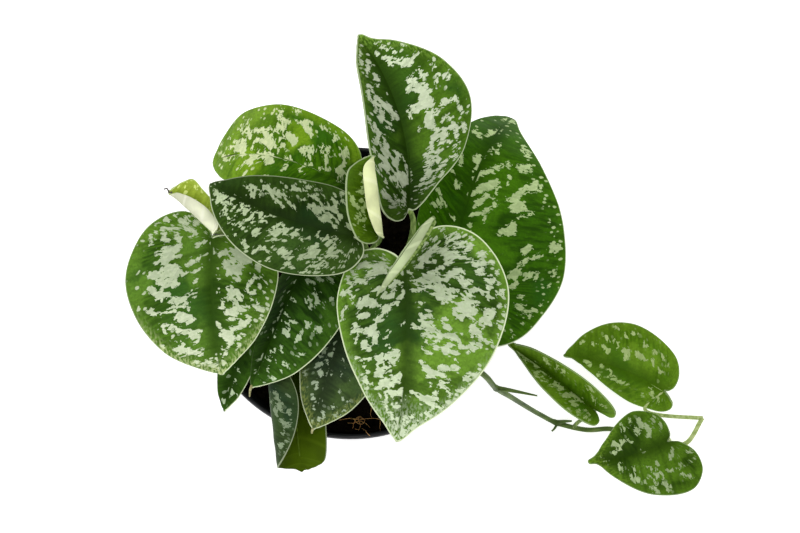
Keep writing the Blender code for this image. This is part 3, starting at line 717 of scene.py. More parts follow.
def make_blade(name, leaf, finishes, streaks):
    """A grid drawn into the leaf's form, quilted between its veins, marked for its finish and thickened."""
    rows, columns = leaf.rows, leaf.columns
    sides = []
    for index in (0, 1):
        grid = half_blade(leaf, index)
        places, face = blade_points(leaf, index, grid[..., 0], grid[..., 1])
        flat = np.stack([grid[..., 0] * leaf.half[index] * (1 if index else -1),
                         grid[..., 1] * math.dist(leaf.base, leaf.tip)], -1)
        steps = np.linalg.norm(np.diff(places, axis=1), axis=-1)
        reach = np.concatenate([np.zeros((rows + 1, 1)), np.cumsum(steps, axis=1)], axis=1)
        edge = lengths_to(places[:, -1])
        turn = np.cos(2 * math.pi * leaf.veins * np.linspace(0, 1, rows + 1))[:, None]
        share = np.linspace(0, 1, columns + 1)[None]
        gaps = np.linalg.norm(np.gradient(places, axis=0), axis=-1)
        spread = np.clip(gaps / np.maximum(gaps[:, -1:], 0.1), 0, 1)
        puff = -QUILT * turn * np.sin(math.pi * share) ** 0.6 * np.clip(2.5 * spread - 0.5, 0, 1)
        puff = puff - MIDRIB_SINK * np.exp(-(reach / MIDRIB_WIDTH) ** 2)
        billow = np.sin(edge / MARGIN_WAVE + 1.7 * index) + 0.6 * np.sin(edge / MARGIN_RIPPLE + 2)
        fade = np.sin(math.pi * np.linspace(0, 1, rows + 1)) ** 0.5
        puff = puff + leaf.wave * share ** 3 * (billow * fade)[:, None]
        places = places + face * puff[..., None]
        along_margin = np.broadcast_to(edge[:, None], reach.shape)
        sides.append((places, flat, reach, along_margin, np.broadcast_to(turn, reach.shape), spread))
    left, right = sides

    places, flat, reach, margin_place, turn, spread = [
        np.concatenate([a[:, ::-1], b[:, 1:]], axis=1).reshape(-1, *a.shape[2:])
        for a, b in zip(left, right)]
    margin = np.concatenate([left[1][:, -1], right[1][:, -1], left[1][0], right[1][0]])
    rim = np.array([np.min(np.linalg.norm(margin - point, axis=1)) for point in flat])
    bpy.ops.object.select_all(action="DESELECT")
    bpy.ops.mesh.primitive_grid_add(x_subdivisions=2 * columns, y_subdivisions=rows, size=2)
    blade = bpy.context.object
    blade.name = blade.data.name = name
    mesh = blade.data
    corners = np.empty(len(mesh.vertices) * 3)
    mesh.vertices.foreach_get("co", corners)
    corners = corners.reshape(-1, 3)
    place = (np.rint((corners[:, 1] + 1) / 2 * rows) * (2 * columns + 1)
             + np.rint((corners[:, 0] + 1) * columns)).astype(int)
    mesh.vertices.foreach_set("co", (places[place] * MM).ravel())
    side = np.repeat([[-1.0] * columns + [1.0] * (columns + 1)], rows + 1, axis=0).ravel()
    silver, unseen = silver_marks(places, streaks)
    values = {
        "midrib": reach, "rim": rim, "quilt": turn, "silver": silver,
        "unseen": unseen, "spread": spread, "right": (side > 0).astype(float),
        "length": flat[:, 1] / math.dist(leaf.base, leaf.tip)}
    for mark, value in values.items():
        mesh.attributes.new(mark, "FLOAT", "POINT").data.foreach_set("value", value[place])
    veins = np.stack([margin_place, reach, HALVES_APART * side], -1)
    spots = np.stack([flat[:, 0], flat[:, 1], HALVES_APART * side], -1)
    for mark, value in (("veins", veins), ("spots", spots)):
        mesh.attributes.new(mark, "FLOAT_VECTOR", "POINT").data.foreach_set("vector", value[place].ravel())
    bpy.ops.object.mode_set(mode="EDIT")
    bpy.ops.mesh.select_all(action="SELECT")
    bpy.ops.mesh.remove_doubles(threshold=0.01 * MM)
    bpy.ops.object.mode_set(mode="OBJECT")
    for finish in finishes:
        mesh.materials.append(finish)
    thick = blade.modifiers.new("Thickness", "SOLIDIFY")
    thick.thickness = BLADE * MM
    thick.offset = 0
    thick.material_offset = 1
    apply_modifiers(blade)
    return blade


def grow_leaf(name, node, slot, leaf, finishes, streaks=()):
    """One leaf in place of its CAD node: the blade, and its petiole drawn on under it as the midrib."""
    blade = make_blade(name, leaf, finishes[:2], streaks)
    petiole, thick = petiole_path(leaf, stem_paths[leaf.stem])
    rib, thin = rib_path(leaf)
    stalk = bar(name + "_stalk", np.concatenate([petiole[:-1], rib]), np.concatenate([thick[:-1], thin]),
                sides=16)
    stalk.data.materials.append(finishes[2])
    whole = joined([blade, stalk], name)
    finish_piece(whole, slot, node, angle=60)


def leaf_finish(name, deep, green, fresh, silver, pale_margin_and_highlight=(0.7, 0.7), rim_wide=0.6, freshness=0.5,
                half_shade=(0, 0), base_shade=0.3, tip=None, crease=1, flecks=0.9, seed=0):
    """Satin green with silver splashes between the side veins, and a thin pale margin to each half."""
    skin = Finish(name, 0.5, Specular_IOR_Level=SATIN)
    stir = skin.vector("SUBTRACT", skin.cloud(420, 3, colour=True), (0.5, 0.5, 0.5))
    stir = skin.vector("MULTIPLY", stir, (RAGGED, RAGGED, 0))
    shift = (seed * 37.0, seed * 11.0, 0)
    veins, spots = [skin.vector("ADD", skin.vector("ADD", skin.mark(mark, vector=True), shift), stir)
                    for mark in ("veins", "spots")]
    inner, rim, length, right = [skin.mark(mark) for mark in ("midrib", "rim", "length", "right")]
    open_veins = skin.ease(skin.mark("spread"), 0.25, 0.5)

    def chance(size, channel=0):
        """A random number for each cell, the cells lying along the side veins where these are well apart."""
        lying = skin.cells(1, skin.sized(veins, size))
        plain = skin.cells(1, skin.vector("MULTIPLY", spots, (1.3 / size[1], 1.3 / size[1], 1)))
        return skin.part(skin.mix(open_veins, plain, lying), channel)

    # Where the silver lies: along the streaks, by chance where the blade is hidden, and in small flecks.
    patch = skin.cloud(1, 1, skin.sized(spots, HIDDEN_SPLASHES))
    guess = skin.sums("MULTIPLY", skin.ease(patch, 0.48, 0.62, 0.1, 0.56), skin.mark("unseen"))
    amount = skin.sums("MAXIMUM", skin.mark("silver"), guess)
    amount = skin.sums("MULTIPLY_ADD", skin.sums("SUBTRACT", chance(COARSE_EDGE), 0.5), 0.66, amount)
    amount = skin.sums("MULTIPLY_ADD", skin.sums("SUBTRACT", chance(FINE_EDGE), 0.5), 0.26, amount)
    splash = skin.ease(amount, 0.47, 0.51)
    small = skin.sized(veins, FLECK_CELLS)
    fleck = skin.sums("MULTIPLY", skin.ease(skin.cells(1, small, distance=True), 0.38, 0.3),
                      skin.ease(skin.part(skin.cells(1, small), 1), 0.74, 0.76))
    fleck = skin.sums("MULTIPLY", fleck, skin.ease(rim, 12, 8, 0, flecks))
    splash = skin.sums("MAXIMUM", splash, fleck)
    splash = skin.sums("MULTIPLY", splash, skin.ease(inner, 0.4, 1.2, 1 - crease, 1))
    splash = skin.sums("MULTIPLY", splash, skin.ease(rim, 0.5, 1.1))

    # The green: streaked along the veins, cooler in places, fresher near the margin and the tip, with
    # painted shade in the valley of the midrib, and darker on the vein lines.
    streaks = skin.mix(open_veins, skin.cloud(70, 4), skin.cloud(1, 4, skin.sized(veins, GREEN_STREAKS)))
    tone = skin.mix(skin.ease(streaks, 0.36, 0.62), paint(*deep), paint(*green))
    cool = tuple(0.5 * (d + g) + c for d, g, c in zip(deep, green, (-6, 2, 14)))
    bluish = skin.ease(skin.cloud(34, 2, skin.vector("ADD", skin.place, (0, seed, 0))), 0.47, 0.66)
    tone = skin.mix(skin.sums("MULTIPLY", bluish, 0.8), tone, paint(*cool))
    bright = skin.ease(skin.cloud(42, 4, skin.vector("ADD", skin.place, (seed, 0, 0))), 0.49, 0.6)
    bright = skin.sums("MAXIMUM", bright, skin.ease(rim, 0.8, 7, 0.8, 0))
    bright = skin.sums("MAXIMUM", bright, skin.ease(length, 0.4, 0.9, 0, 0.7))
    tone = skin.mix(skin.sums("MULTIPLY", bright, freshness), tone, paint(*fresh))
    midrib_shade = skin.sums("MULTIPLY", skin.ease(inner, 0, 9, 0.75 * crease, 0), skin.ease(length, 1, 0.8))
    tone = skin.mix(midrib_shade, tone, paint(*[0.9 * d for d in deep]))
    line = skin.sums("MULTIPLY", skin.ease(skin.mark("quilt"), 0.86, 1), open_veins)
    tone = skin.mix(skin.sums("MULTIPLY", line, 0.35), tone, paint(*deep))
    pebble = skin.part(skin.cells(1100), 0)
    tone = skin.mix(skin.sums("MULTIPLY", pebble, 0.35), tone, paint(*[0.62 * g for g in green]))

    # The silver itself, paler towards the tip and a shade different in each cell.
    shades = skin.sums("MULTIPLY", chance(SHADE_CELLS, 2), 0.4)
    shine = skin.sums("MULTIPLY_ADD", skin.ease(length, 0.2, 0.8), 0.6, shades)
    shine = skin.mix(shine, paint(*[0.9 * c for c in silver]), paint(*[min(1.12 * c, 240) for c in silver]))
    shine = skin.mix(skin.sums("MULTIPLY", pebble, 0.2), shine, paint(*fresh))
    shine = skin.mix(skin.sums("MULTIPLY", line, 0.15), shine, paint(*green))
    tone = skin.mix(splash, tone, shine)

    # Pale dust at the tip, painted shade near the base and on a half that lies in shadow, and the pale
    # margin.
    if tip:
        grains = skin.cloud(1, 4, skin.sized(spots, DUST_GRAINS))
        near_rim = skin.sums("MULTIPLY", skin.ease(rim, 5.5, 0, 0, 0.75), skin.ease(length, 0.4, 0.8))
        near = skin.sums("MAXIMUM", skin.ease(length, tip[1], 1), near_rim)
        dust = skin.sums("MULTIPLY", skin.ease(grains, 0.42, 0.6), near)
        tone = skin.mix(dust, tone, paint(*tip[0]))
    # Painted shade: the blade is darkened towards its base and over one chosen half.
    dark = skin.sums("MULTIPLY", skin.ease(length, 0.35, -0.05, 0, base_shade), skin.ease(inner, 30, 10))
    dark = skin.sums("MAXIMUM", dark, skin.ease(right, 0, 1, *half_shade))
    tone = skin.mix(dark, tone, paint(*[0.2 * d for d in deep]))
    # The pale margin is partly a painted highlight: each half has its own strength, brighter on the half
    # that faces the light.
    edge = skin.sums("MULTIPLY", skin.ease(rim, rim_wide, 0.4 * rim_wide), skin.ease(right, 0, 1, *pale_margin_and_highlight))
    skin.colour(skin.mix(edge, tone, paint(*CREAM)))
    skin.rough(skin.ease(splash, 0, 1, 0.45, 0.6))
    grain = skin.sums("ADD", skin.cells(1500, distance=True), skin.sums("MULTIPLY", splash, 0.6))
    skin.bump(grain, 0.14, 0.12 * MM)
    return skin.material


def under_finish(name, pale, vein):
    """The underside: paler and duller, with the side veins showing."""
    skin = Finish(name, 0.55, Specular_IOR_Level=SATIN)
    tone = skin.mix(skin.ease(skin.cloud(80, 3), 0.3, 0.7), paint(*pale), paint(*[0.85 * c for c in pale]))
    line = skin.ease(skin.mark("quilt"), 0.8, 1)
    skin.colour(skin.mix(skin.sums("MULTIPLY", line, 0.4), tone, paint(*vein)))
    skin.bump(skin.cells(1300, distance=True), 0.12, 0.1 * MM)
    return skin.material


petiole_green = stem_finish("petiole_green", (70, 96, 34), (150, 174, 98))
under_green = under_finish("under_green", (108, 138, 74), (132, 160, 96))
front_skin = leaf_finish("front_satin", (38, 64, 10), (66, 102, 26), (126, 172, 56), (202, 214, 182),
                         pale_margin_and_highlight=(1, 0.9), rim_wide=0.85, freshness=0.8, tip=((212, 226, 192), 0.7), seed=1)
FRONT = Leaf(
    (26, -15.5, 204), (22.5, -91.5, 184), (46, 32.5), "stem_front", 0.84, (1, -9, 14), (2, 5, -16),
    side=-3, fold=(8, 6), curl=(-20, -30), lobe=(0.2, 0.12), shoulder=(0.16, 0.18), blunt=(-0.14, -0.07),
    petiole=1.4, rows=170, columns=60)
# Silver streaks are set out as lines (x, y, x, y, width) in pixels of the photograph's frame.
FRONT_SILVER = [
    (362, 266, 378, 267, 7), (376, 265, 386, 266, 6), (370, 274, 384, 270, 7), (384, 268, 391, 268, 5),
    (355, 272, 360, 268, 4), (357, 280, 365, 282, 6), (348, 279, 350, 285, 3), (342, 292, 344, 294, 3),
    (349, 291, 353, 297, 3), (363, 257, 367, 256, 3), (382, 257, 385, 260, 2), (374, 291, 386, 286, 5),
    (389, 287, 397, 283, 4), (391, 292, 396, 287, 3), (396, 284, 402, 284, 3), (402, 284, 403, 297, 2),
    (385, 296, 394, 294, 5), (401, 297, 394, 302, 1), (360, 299, 368, 298, 6), (360, 304, 376, 304, 8),
    (366, 303, 380, 306, 6), (383, 307, 397, 304, 4), (388, 309, 380, 318, 6), (381, 318, 375, 322, 3),
    (359, 316, 365, 314, 6), (361, 311, 362, 314, 3), (343, 309, 344, 320, 1.5), (347, 308, 347, 311, 1.5),
    (355, 323, 356, 327, 2), (353, 332, 360, 330, 4), (355, 341, 359, 333, 4), (362, 331, 372, 333, 5),
    (372, 329, 376, 335, 6), (374, 335, 376, 344, 5), (384, 339, 388, 332, 2.5), (402, 325, 404, 321, 2.5),
    (440, 229, 442, 231, 2.5), (442, 231, 445, 229, 2), (434, 240, 437, 238, 3), (446, 237, 450, 236, 3),
    (455, 235, 459, 235, 4), (444, 244, 450, 240, 2), (450, 240, 456, 237, 2), (466, 237, 470, 237, 2),
    (412, 271, 421, 266, 3.5), (420, 266, 427, 256, 7), (426, 256, 431, 249, 5), (428, 250, 439, 242, 1.5),
    (422, 251, 426, 244, 2.5), (432, 252, 441, 250, 4), (437, 249, 448, 250, 4), (443, 253, 452, 254, 7),
    (446, 259, 456, 256, 7), (451, 250, 455, 245, 3), (454, 244, 461, 244, 4), (458, 257, 466, 259, 4),
    (466, 260, 473, 260, 3), (467, 244, 471, 246, 4), (466, 250, 468, 247, 5), (464, 254, 466, 252, 3),
    (470, 252, 466, 250, 2), (425, 263, 434, 262, 3), (452, 260, 446, 265, 5), (445, 266, 438, 270, 4),
    (437, 272, 424, 277, 5), (424, 278, 414, 281, 4), (426, 276, 438, 277, 4), (411, 281, 430, 282, 4),
    (430, 282, 447, 278, 6), (447, 277, 458, 272, 7), (456, 270, 461, 274, 5), (457, 277, 462, 281, 3),
    (462, 282, 472, 282, 3.5), (428, 287, 446, 287, 5), (413, 290, 424, 289, 2.5), (424, 291, 436, 293, 4),
    (437, 290, 454, 292, 7), (440, 297, 452, 298, 7), (442, 303, 449, 303, 4), (450, 290, 459, 290, 4),
    (458, 289, 464, 290, 2), (465, 292, 476, 291, 5), (468, 296, 472, 299, 7), (476, 291, 486, 290, 4),
    (487, 289, 489, 287, 4), (488, 293, 491, 298, 3), (482, 293, 478, 292, 3), (458, 304, 466, 304, 5),
    (458, 310, 471, 309, 9), (455, 317, 462, 317, 4), (464, 313, 474, 314, 5), (473, 317, 474, 320, 2),
    (468, 303, 474, 306, 4), (418, 305, 425, 303, 3), (427, 309, 432, 311, 1.5), (422, 317, 431, 316, 5),
    (430, 318, 445, 319, 4), (422, 320, 424, 328, 6), (425, 324, 432, 330, 6), (413, 325, 424, 331, 2.5),
    (425, 332, 441, 335, 5), (438, 334, 452, 337, 5), (442, 322, 447, 325, 2), (446, 326, 451, 329, 3),
    (453, 335, 460, 335, 4), (457, 339, 461, 346, 6), (453, 338, 459, 341, 5), (426, 341, 436, 346, 4),
    (437, 347, 450, 346, 5), (445, 350, 456, 353, 6), (440, 341, 436, 343, 4), (424, 348, 430, 353, 3.5),
    (472, 329, 478, 332, 7), (474, 335, 480, 337, 4), (468, 346, 478, 346, 6), (468, 352, 471, 350, 3),
    (486, 312, 493, 312, 6), (491, 316, 493, 311, 5), (482, 320, 489, 319, 6), (481, 324, 483, 326, 3),
    (490, 322, 491, 326, 3), (478, 305, 482, 309, 3), (479, 304, 481, 304, 2), (485, 341, 490, 342, 4),
    (493, 345, 496, 347, 3), (498, 322, 502, 328, 3), (500, 327, 503, 321, 3), (498, 334, 497, 339, 3),
    (475, 265, 484, 264, 6), (478, 271, 482, 268, 6), (480, 273, 484, 273, 2), (484, 263, 492, 263, 3),
    (479, 255, 484, 255, 5), (482, 258, 483, 255, 3), (488, 281, 493, 281, 5), (491, 278, 492, 284, 4),
    (497, 278, 500, 284, 2.5), (498, 284, 499, 279, 2.5), (497, 272, 497, 276, 2), (499, 294, 504, 289, 4),
    (498, 296, 502, 295, 3), (499, 304, 500, 305, 2.5), (503, 311, 504, 314, 3), (505, 306, 505, 309, 1.5),
    (421, 362, 427, 368, 5), (425, 367, 434, 374, 7), (429, 376, 441, 376, 4), (436, 372, 441, 375, 5),
    (442, 377, 448, 381, 3.5), (440, 368, 457, 368, 6), (442, 365, 450, 365, 3), (454, 359, 456, 363, 2.5),
    (430, 383, 431, 387, 1.5), (436, 390, 439, 384, 2), (441, 385, 449, 388, 4), (448, 391, 450, 395, 3),
    (413, 393, 421, 395, 4), (421, 397, 434, 399, 7), (427, 403, 433, 404, 4), (432, 396, 437, 390, 3),
    (434, 402, 440, 407, 4), (466, 379, 470, 375, 4), (470, 375, 478, 375, 5), (457, 394, 463, 389, 2.5),
    (447, 403, 450, 402, 1.5), (363, 347, 369, 349, 4), (365, 343, 366, 346, 3), (388, 346, 390, 351, 3),
    (391, 349, 397, 351, 5), (386, 355, 396, 354, 6), (377, 358, 386, 358, 6), (378, 363, 383, 361, 4),
    (390, 360, 394, 362, 5), (384, 364, 387, 370, 2.5), (390, 366, 390, 373, 1.5), (380, 370, 384, 371, 6),
    (377, 375, 382, 374, 4), (383, 382, 389, 385, 9), (378, 388, 384, 388, 4), (388, 389, 390, 392, 3),
    (395, 379, 398, 376, 5), (394, 382, 399, 382, 3), (393, 393, 400, 393, 5), (399, 391, 403, 391, 4),
    (402, 394, 403, 401, 3), (394, 397, 396, 396, 2.5), (356, 358, 359, 358, 2), (361, 361, 365, 361, 2.5),
    (364, 363, 365, 368, 1.5), (368, 361, 371, 360, 2.5), (364, 376, 367, 380, 4), (367, 381, 371, 385, 4),
    (385, 392, 386, 397, 2), (366, 370, 369, 372, 1.5), (392, 404, 394, 408, 1.5), (396, 404, 397, 409, 2),
    (400, 404, 400, 410, 1.5), (392, 415, 396, 428, 4), (397, 418, 401, 432, 5), (401, 424, 403, 434, 2.5),
    (404, 416, 412, 418, 1.5), (407, 422, 410, 428, 1.5), (413, 428, 417, 424, 4), (417, 422, 421, 415, 2),
    (428, 413, 433, 408, 4), (426, 419, 429, 415, 2), (420, 410, 421, 404, 1.5), (384, 398, 388, 412, 1),
    (379, 393, 383, 402, 1), (390, 408, 392, 414, 1), (404, 420, 405, 432, 1), (409, 422, 412, 416, 1)]
grow_leaf("front_leaf", "leaf_front", "leaf", FRONT,
          (front_skin, under_green, petiole_green), FRONT_SILVER)

# The top leaf grows from the same stem as the front one and reaches back and up behind it. Its blade is the
# same satin green, with the left half folded up along the midrib.
# Its left half and its base are darkened with painted shade.
top_skin = leaf_finish("top_satin", (34, 62, 4), (60, 98, 16), (104, 148, 38), (204, 215, 184),
                       pale_margin_and_highlight=(0.5, 0.6), half_shade=(0.25, 0), base_shade=0.6, tip=((128, 166, 62), 0.86), seed=2)
TOP = Leaf(
    (28, 14.5, 196), (4.5, 96.7, 206), (22.5, 34.5), "stem_front", 0.8, (3, 4, 14), (7, -4, -14),
    lift=4, side=7.7, fold=(34, 8), curl=(10, -25), lobe=(0.08, 0), shoulder=(0.31, 0.51),
    blunt=(0, -0.2), wedge=(0, 1), petiole=1.4, rows=170, columns=60)
TOP_SILVER = [
    (359, 49, 360, 54, 2), (361, 61, 361, 67, 1.5), (368, 62, 368, 68, 3.5), (366, 70, 367, 75, 3.5),
    (375, 43, 379, 42, 2.5), (403, 45, 406, 46, 2), (381, 47, 385, 49, 3), (388, 51, 395, 52, 3),
    (378, 53, 378, 54, 2.5), (418, 52, 419, 53, 2.5), (374, 76, 378, 80, 4), (375, 80, 377, 85, 2.5),
    (369, 85, 372, 92, 3.5), (368, 93, 369, 99, 4), (386, 93, 387, 95, 1.5), (376, 98, 384, 105, 7),
    (384, 104, 390, 110, 7), (390, 110, 397, 118, 4), (374, 104, 377, 110, 4), (380, 108, 381, 122, 5),
    (384, 110, 382, 121, 3.5), (391, 113, 393, 121, 1.5), (366, 118, 369, 121, 2.5), (373, 126, 375, 131, 4),
    (378, 134, 377, 138, 3.5), (375, 139, 375, 143, 3.5), (373, 147, 375, 152, 2.5), (385, 124, 386, 129, 2),
    (390, 125, 392, 130, 3.5), (384, 138, 385, 150, 5), (384, 150, 387, 157, 6), (377, 156, 383, 157, 2.5),
    (384, 160, 387, 168, 7), (380, 166, 386, 167, 6), (378, 171, 382, 168, 3.5), (394, 152, 397, 157, 3.5),
    (397, 157, 396, 168, 4), (392, 160, 394, 167, 2.5), (402, 156, 404, 161, 4), (406, 166, 408, 173, 5),
    (395, 174, 408, 175, 7), (393, 179, 408, 180, 7), (385, 181, 395, 181, 2.5), (395, 185, 402, 185, 4),
    (400, 190, 404, 196, 1.5), (394, 195, 396, 200, 2.5), (387, 197, 393, 204, 4), (390, 206, 395, 206, 2.5),
    (397, 200, 402, 201, 3.5), (401, 205, 405, 205, 1.5), (409, 196, 411, 199, 1.5),
    (382, 190, 384, 197, 2.5), (385, 58, 396, 59, 3.5), (390, 62, 398, 63, 5), (399, 64, 409, 64, 6),
    (404, 60, 411, 60, 4), (410, 63, 414, 57, 2.5), (430, 64, 434, 65, 2.5), (419, 69, 420, 72, 2),
    (429, 70, 430, 71, 1.5), (424, 75, 424, 79, 6), (424, 80, 423, 84, 3), (413, 76, 411, 80, 2.5),
    (410, 82, 416, 83, 7), (408, 89, 412, 85, 5), (414, 86, 424, 90, 7), (416, 92, 419, 89, 3.5),
    (425, 86, 431, 91, 4), (430, 93, 434, 89, 3.5), (424, 93, 430, 100, 8.5), (423, 99, 427, 106, 8.5),
    (429, 103, 431, 107, 4), (434, 101, 434, 106, 2), (412, 107, 424, 104, 4), (410, 111, 425, 107, 6),
    (410, 114, 412, 119, 3.5), (437, 110, 431, 119, 4), (430, 117, 427, 125, 7), (433, 120, 432, 128, 4),
    (424, 126, 419, 132, 2), (438, 73, 440, 77, 2.5), (441, 77, 447, 78, 3), (447, 78, 449, 72, 2.5),
    (436, 78, 437, 81, 1.5), (445, 101, 455, 99, 5), (455, 95, 457, 101, 2.5), (443, 105, 446, 101, 2),
    (460, 108, 461, 112, 3.5), (467, 111, 468, 113, 1.5), (448, 115, 449, 118, 2.5),
    (443, 119, 446, 119, 1.5), (440, 121, 442, 122, 1.5), (452, 122, 455, 125, 3.5), (450, 128, 457, 127, 5),
    (455, 131, 457, 137, 2.5), (463, 124, 464, 132, 2.5), (436, 131, 446, 130, 4), (435, 137, 445, 134, 7.5),
    (433, 141, 442, 141, 4), (434, 142, 430, 150, 2), (445, 137, 442, 144, 2), (448, 141, 448, 144, 2.5),
    (457, 143, 455, 148, 3.5), (452, 157, 456, 156, 2.5), (429, 152, 432, 153, 4), (440, 149, 437, 157, 3.5),
    (437, 157, 439, 162, 4), (427, 157, 433, 157, 6), (426, 163, 431, 163, 5), (428, 168, 433, 171, 2.5),
    (427, 169, 429, 175, 5), (426, 176, 418, 189, 1.5), (441, 169, 445, 164, 1.5), (446, 161, 440, 167, 1.5),
    (443, 168, 441, 177, 3.5), (438, 170, 428, 186, 1.5), (427, 184, 433, 183, 2.5),
    (428, 186, 421, 192, 1.5)]
grow_leaf("top_leaf", "leaf_top", "leaf", TOP, (top_skin, under_green, petiole_green), TOP_SILVER)

# The right rear leaf is the longest: a large satin blade that grows from the foot of the vine, arches over
# the rim behind the others and hangs down at its tip. Its silver is thin and its green is plain and bright.
rear_skin = leaf_finish("rear_satin", (36, 72, 2), (58, 106, 4), (84, 138, 16), (184, 203, 146),
                        pale_margin_and_highlight=(0.1, 0.8), base_shade=0, seed=3)
under_bright = under_finish("under_bright", (120, 154, 70), (146, 176, 96))
RIGHT_REAR = Leaf(
    (44.5, -15.5, 166), (81.5, 91.5, 138), (21, 57.5), "vine", 0.075, (5, 4, 22), (-1, -6, -16),
    lift=6, side=-4.5, fold=(-5, -5), curl=(-10, -25), lobe=(0.12, 0.19), shoulder=(0.35, 0.23),
    blunt=(0.15, -0.16), drop=16, petiole=1.4, rows=180, columns=60, veins=12)
REAR_SILVER = [
    (475, 132, 480, 135, 4), (482, 140, 484, 138, 3), (488, 136, 499, 131, 3), (490, 133, 500, 131, 2),
    (504, 120, 513, 123, 2), (495, 148, 496, 153, 3), (496, 148, 500, 146, 2.5), (487, 152, 483, 158, 2.5),
    (490, 154, 490, 156, 1.5), (476, 160, 479, 157, 6), (477, 162, 478, 161, 3), (508, 164, 509, 166, 3),
    (496, 168, 501, 165, 3), (483, 174, 492, 171, 6), (475, 178, 480, 174, 3), (474, 180, 477, 176, 3),
    (477, 168, 476, 170, 1), (473, 170, 473, 172, 1), (471, 196, 480, 190, 3), (479, 190, 490, 185, 7),
    (486, 186, 496, 182, 7), (488, 190, 497, 185, 5), (474, 208, 477, 202, 4), (480, 203, 488, 196, 5),
    (484, 199, 488, 193, 4), (489, 194, 489, 198, 2), (492, 199, 498, 187, 1.5), (497, 188, 500, 186, 2),
    (472, 187, 469, 196, 1), (476, 213, 487, 211, 4.5), (484, 210, 492, 208, 4), (490, 208, 498, 202, 2),
    (470, 218, 474, 214, 2.5), (469, 226, 471, 230, 2), (483, 221, 485, 219, 1.5), (453, 172, 457, 181, 2),
    (455, 184, 458, 187, 4), (438, 189, 440, 193, 3), (461, 157, 461, 165, 2), (434, 205, 440, 205, 4),
    (441, 201, 445, 206, 4.5), (439, 208, 443, 205, 3), (452, 216, 454, 220, 3), (509, 176, 507, 185, 1),
    (523, 149, 529, 156, 4.5), (520, 167, 527, 168, 6), (522, 171, 531, 172, 3), (517, 168, 519, 167, 1.5),
    (540, 187, 540, 190, 2), (535, 184, 534, 189, 5), (532, 187, 529, 190, 5), (527, 187, 523, 192, 6),
    (521, 192, 517, 197, 7), (514, 196, 511, 200, 6), (508, 199, 512, 201, 3), (511, 207, 521, 206, 7),
    (514, 203, 523, 205, 4), (513, 211, 520, 210, 5), (519, 212, 524, 215, 5), (519, 216, 526, 216, 3),
    (524, 208, 526, 213, 2), (527, 214, 531, 215, 4), (549, 221, 549, 222, 2), (499, 233, 507, 233, 6),
    (503, 231, 513, 231, 7), (508, 228, 513, 226, 5), (512, 224, 513, 229, 3), (524, 251, 529, 248, 6),
    (528, 257, 534, 257, 2), (533, 259, 540, 256, 3), (551, 247, 558, 247, 6), (551, 251, 555, 250, 4),
    (553, 238, 555, 235, 1), (517, 266, 520, 262, 2.5), (522, 265, 525, 261, 2.5), (511, 274, 517, 273, 5),
    (508, 277, 514, 277, 6), (512, 287, 515, 284, 4), (525, 274, 525, 275, 1.5), (524, 277, 524, 278, 2),
    (529, 275, 531, 273, 3), (535, 279, 537, 274, 1), (553, 271, 553, 276, 3), (549, 284, 549, 285, 1.5),
    (559, 283, 560, 288, 1), (519, 298, 522, 297, 3.5), (541, 305, 543, 303, 2), (516, 305, 522, 306, 4),
    (518, 308, 520, 311, 3.5), (524, 312, 534, 311, 3.5), (528, 314, 530, 315, 3), (523, 323, 523, 323, 2),
    (512, 337, 513, 335, 1)]
grow_leaf("right_rear_leaf", "leaf_right_rear", "bright_leaf", RIGHT_REAR,
          (rear_skin, under_bright, petiole_green), REAR_SILVER)
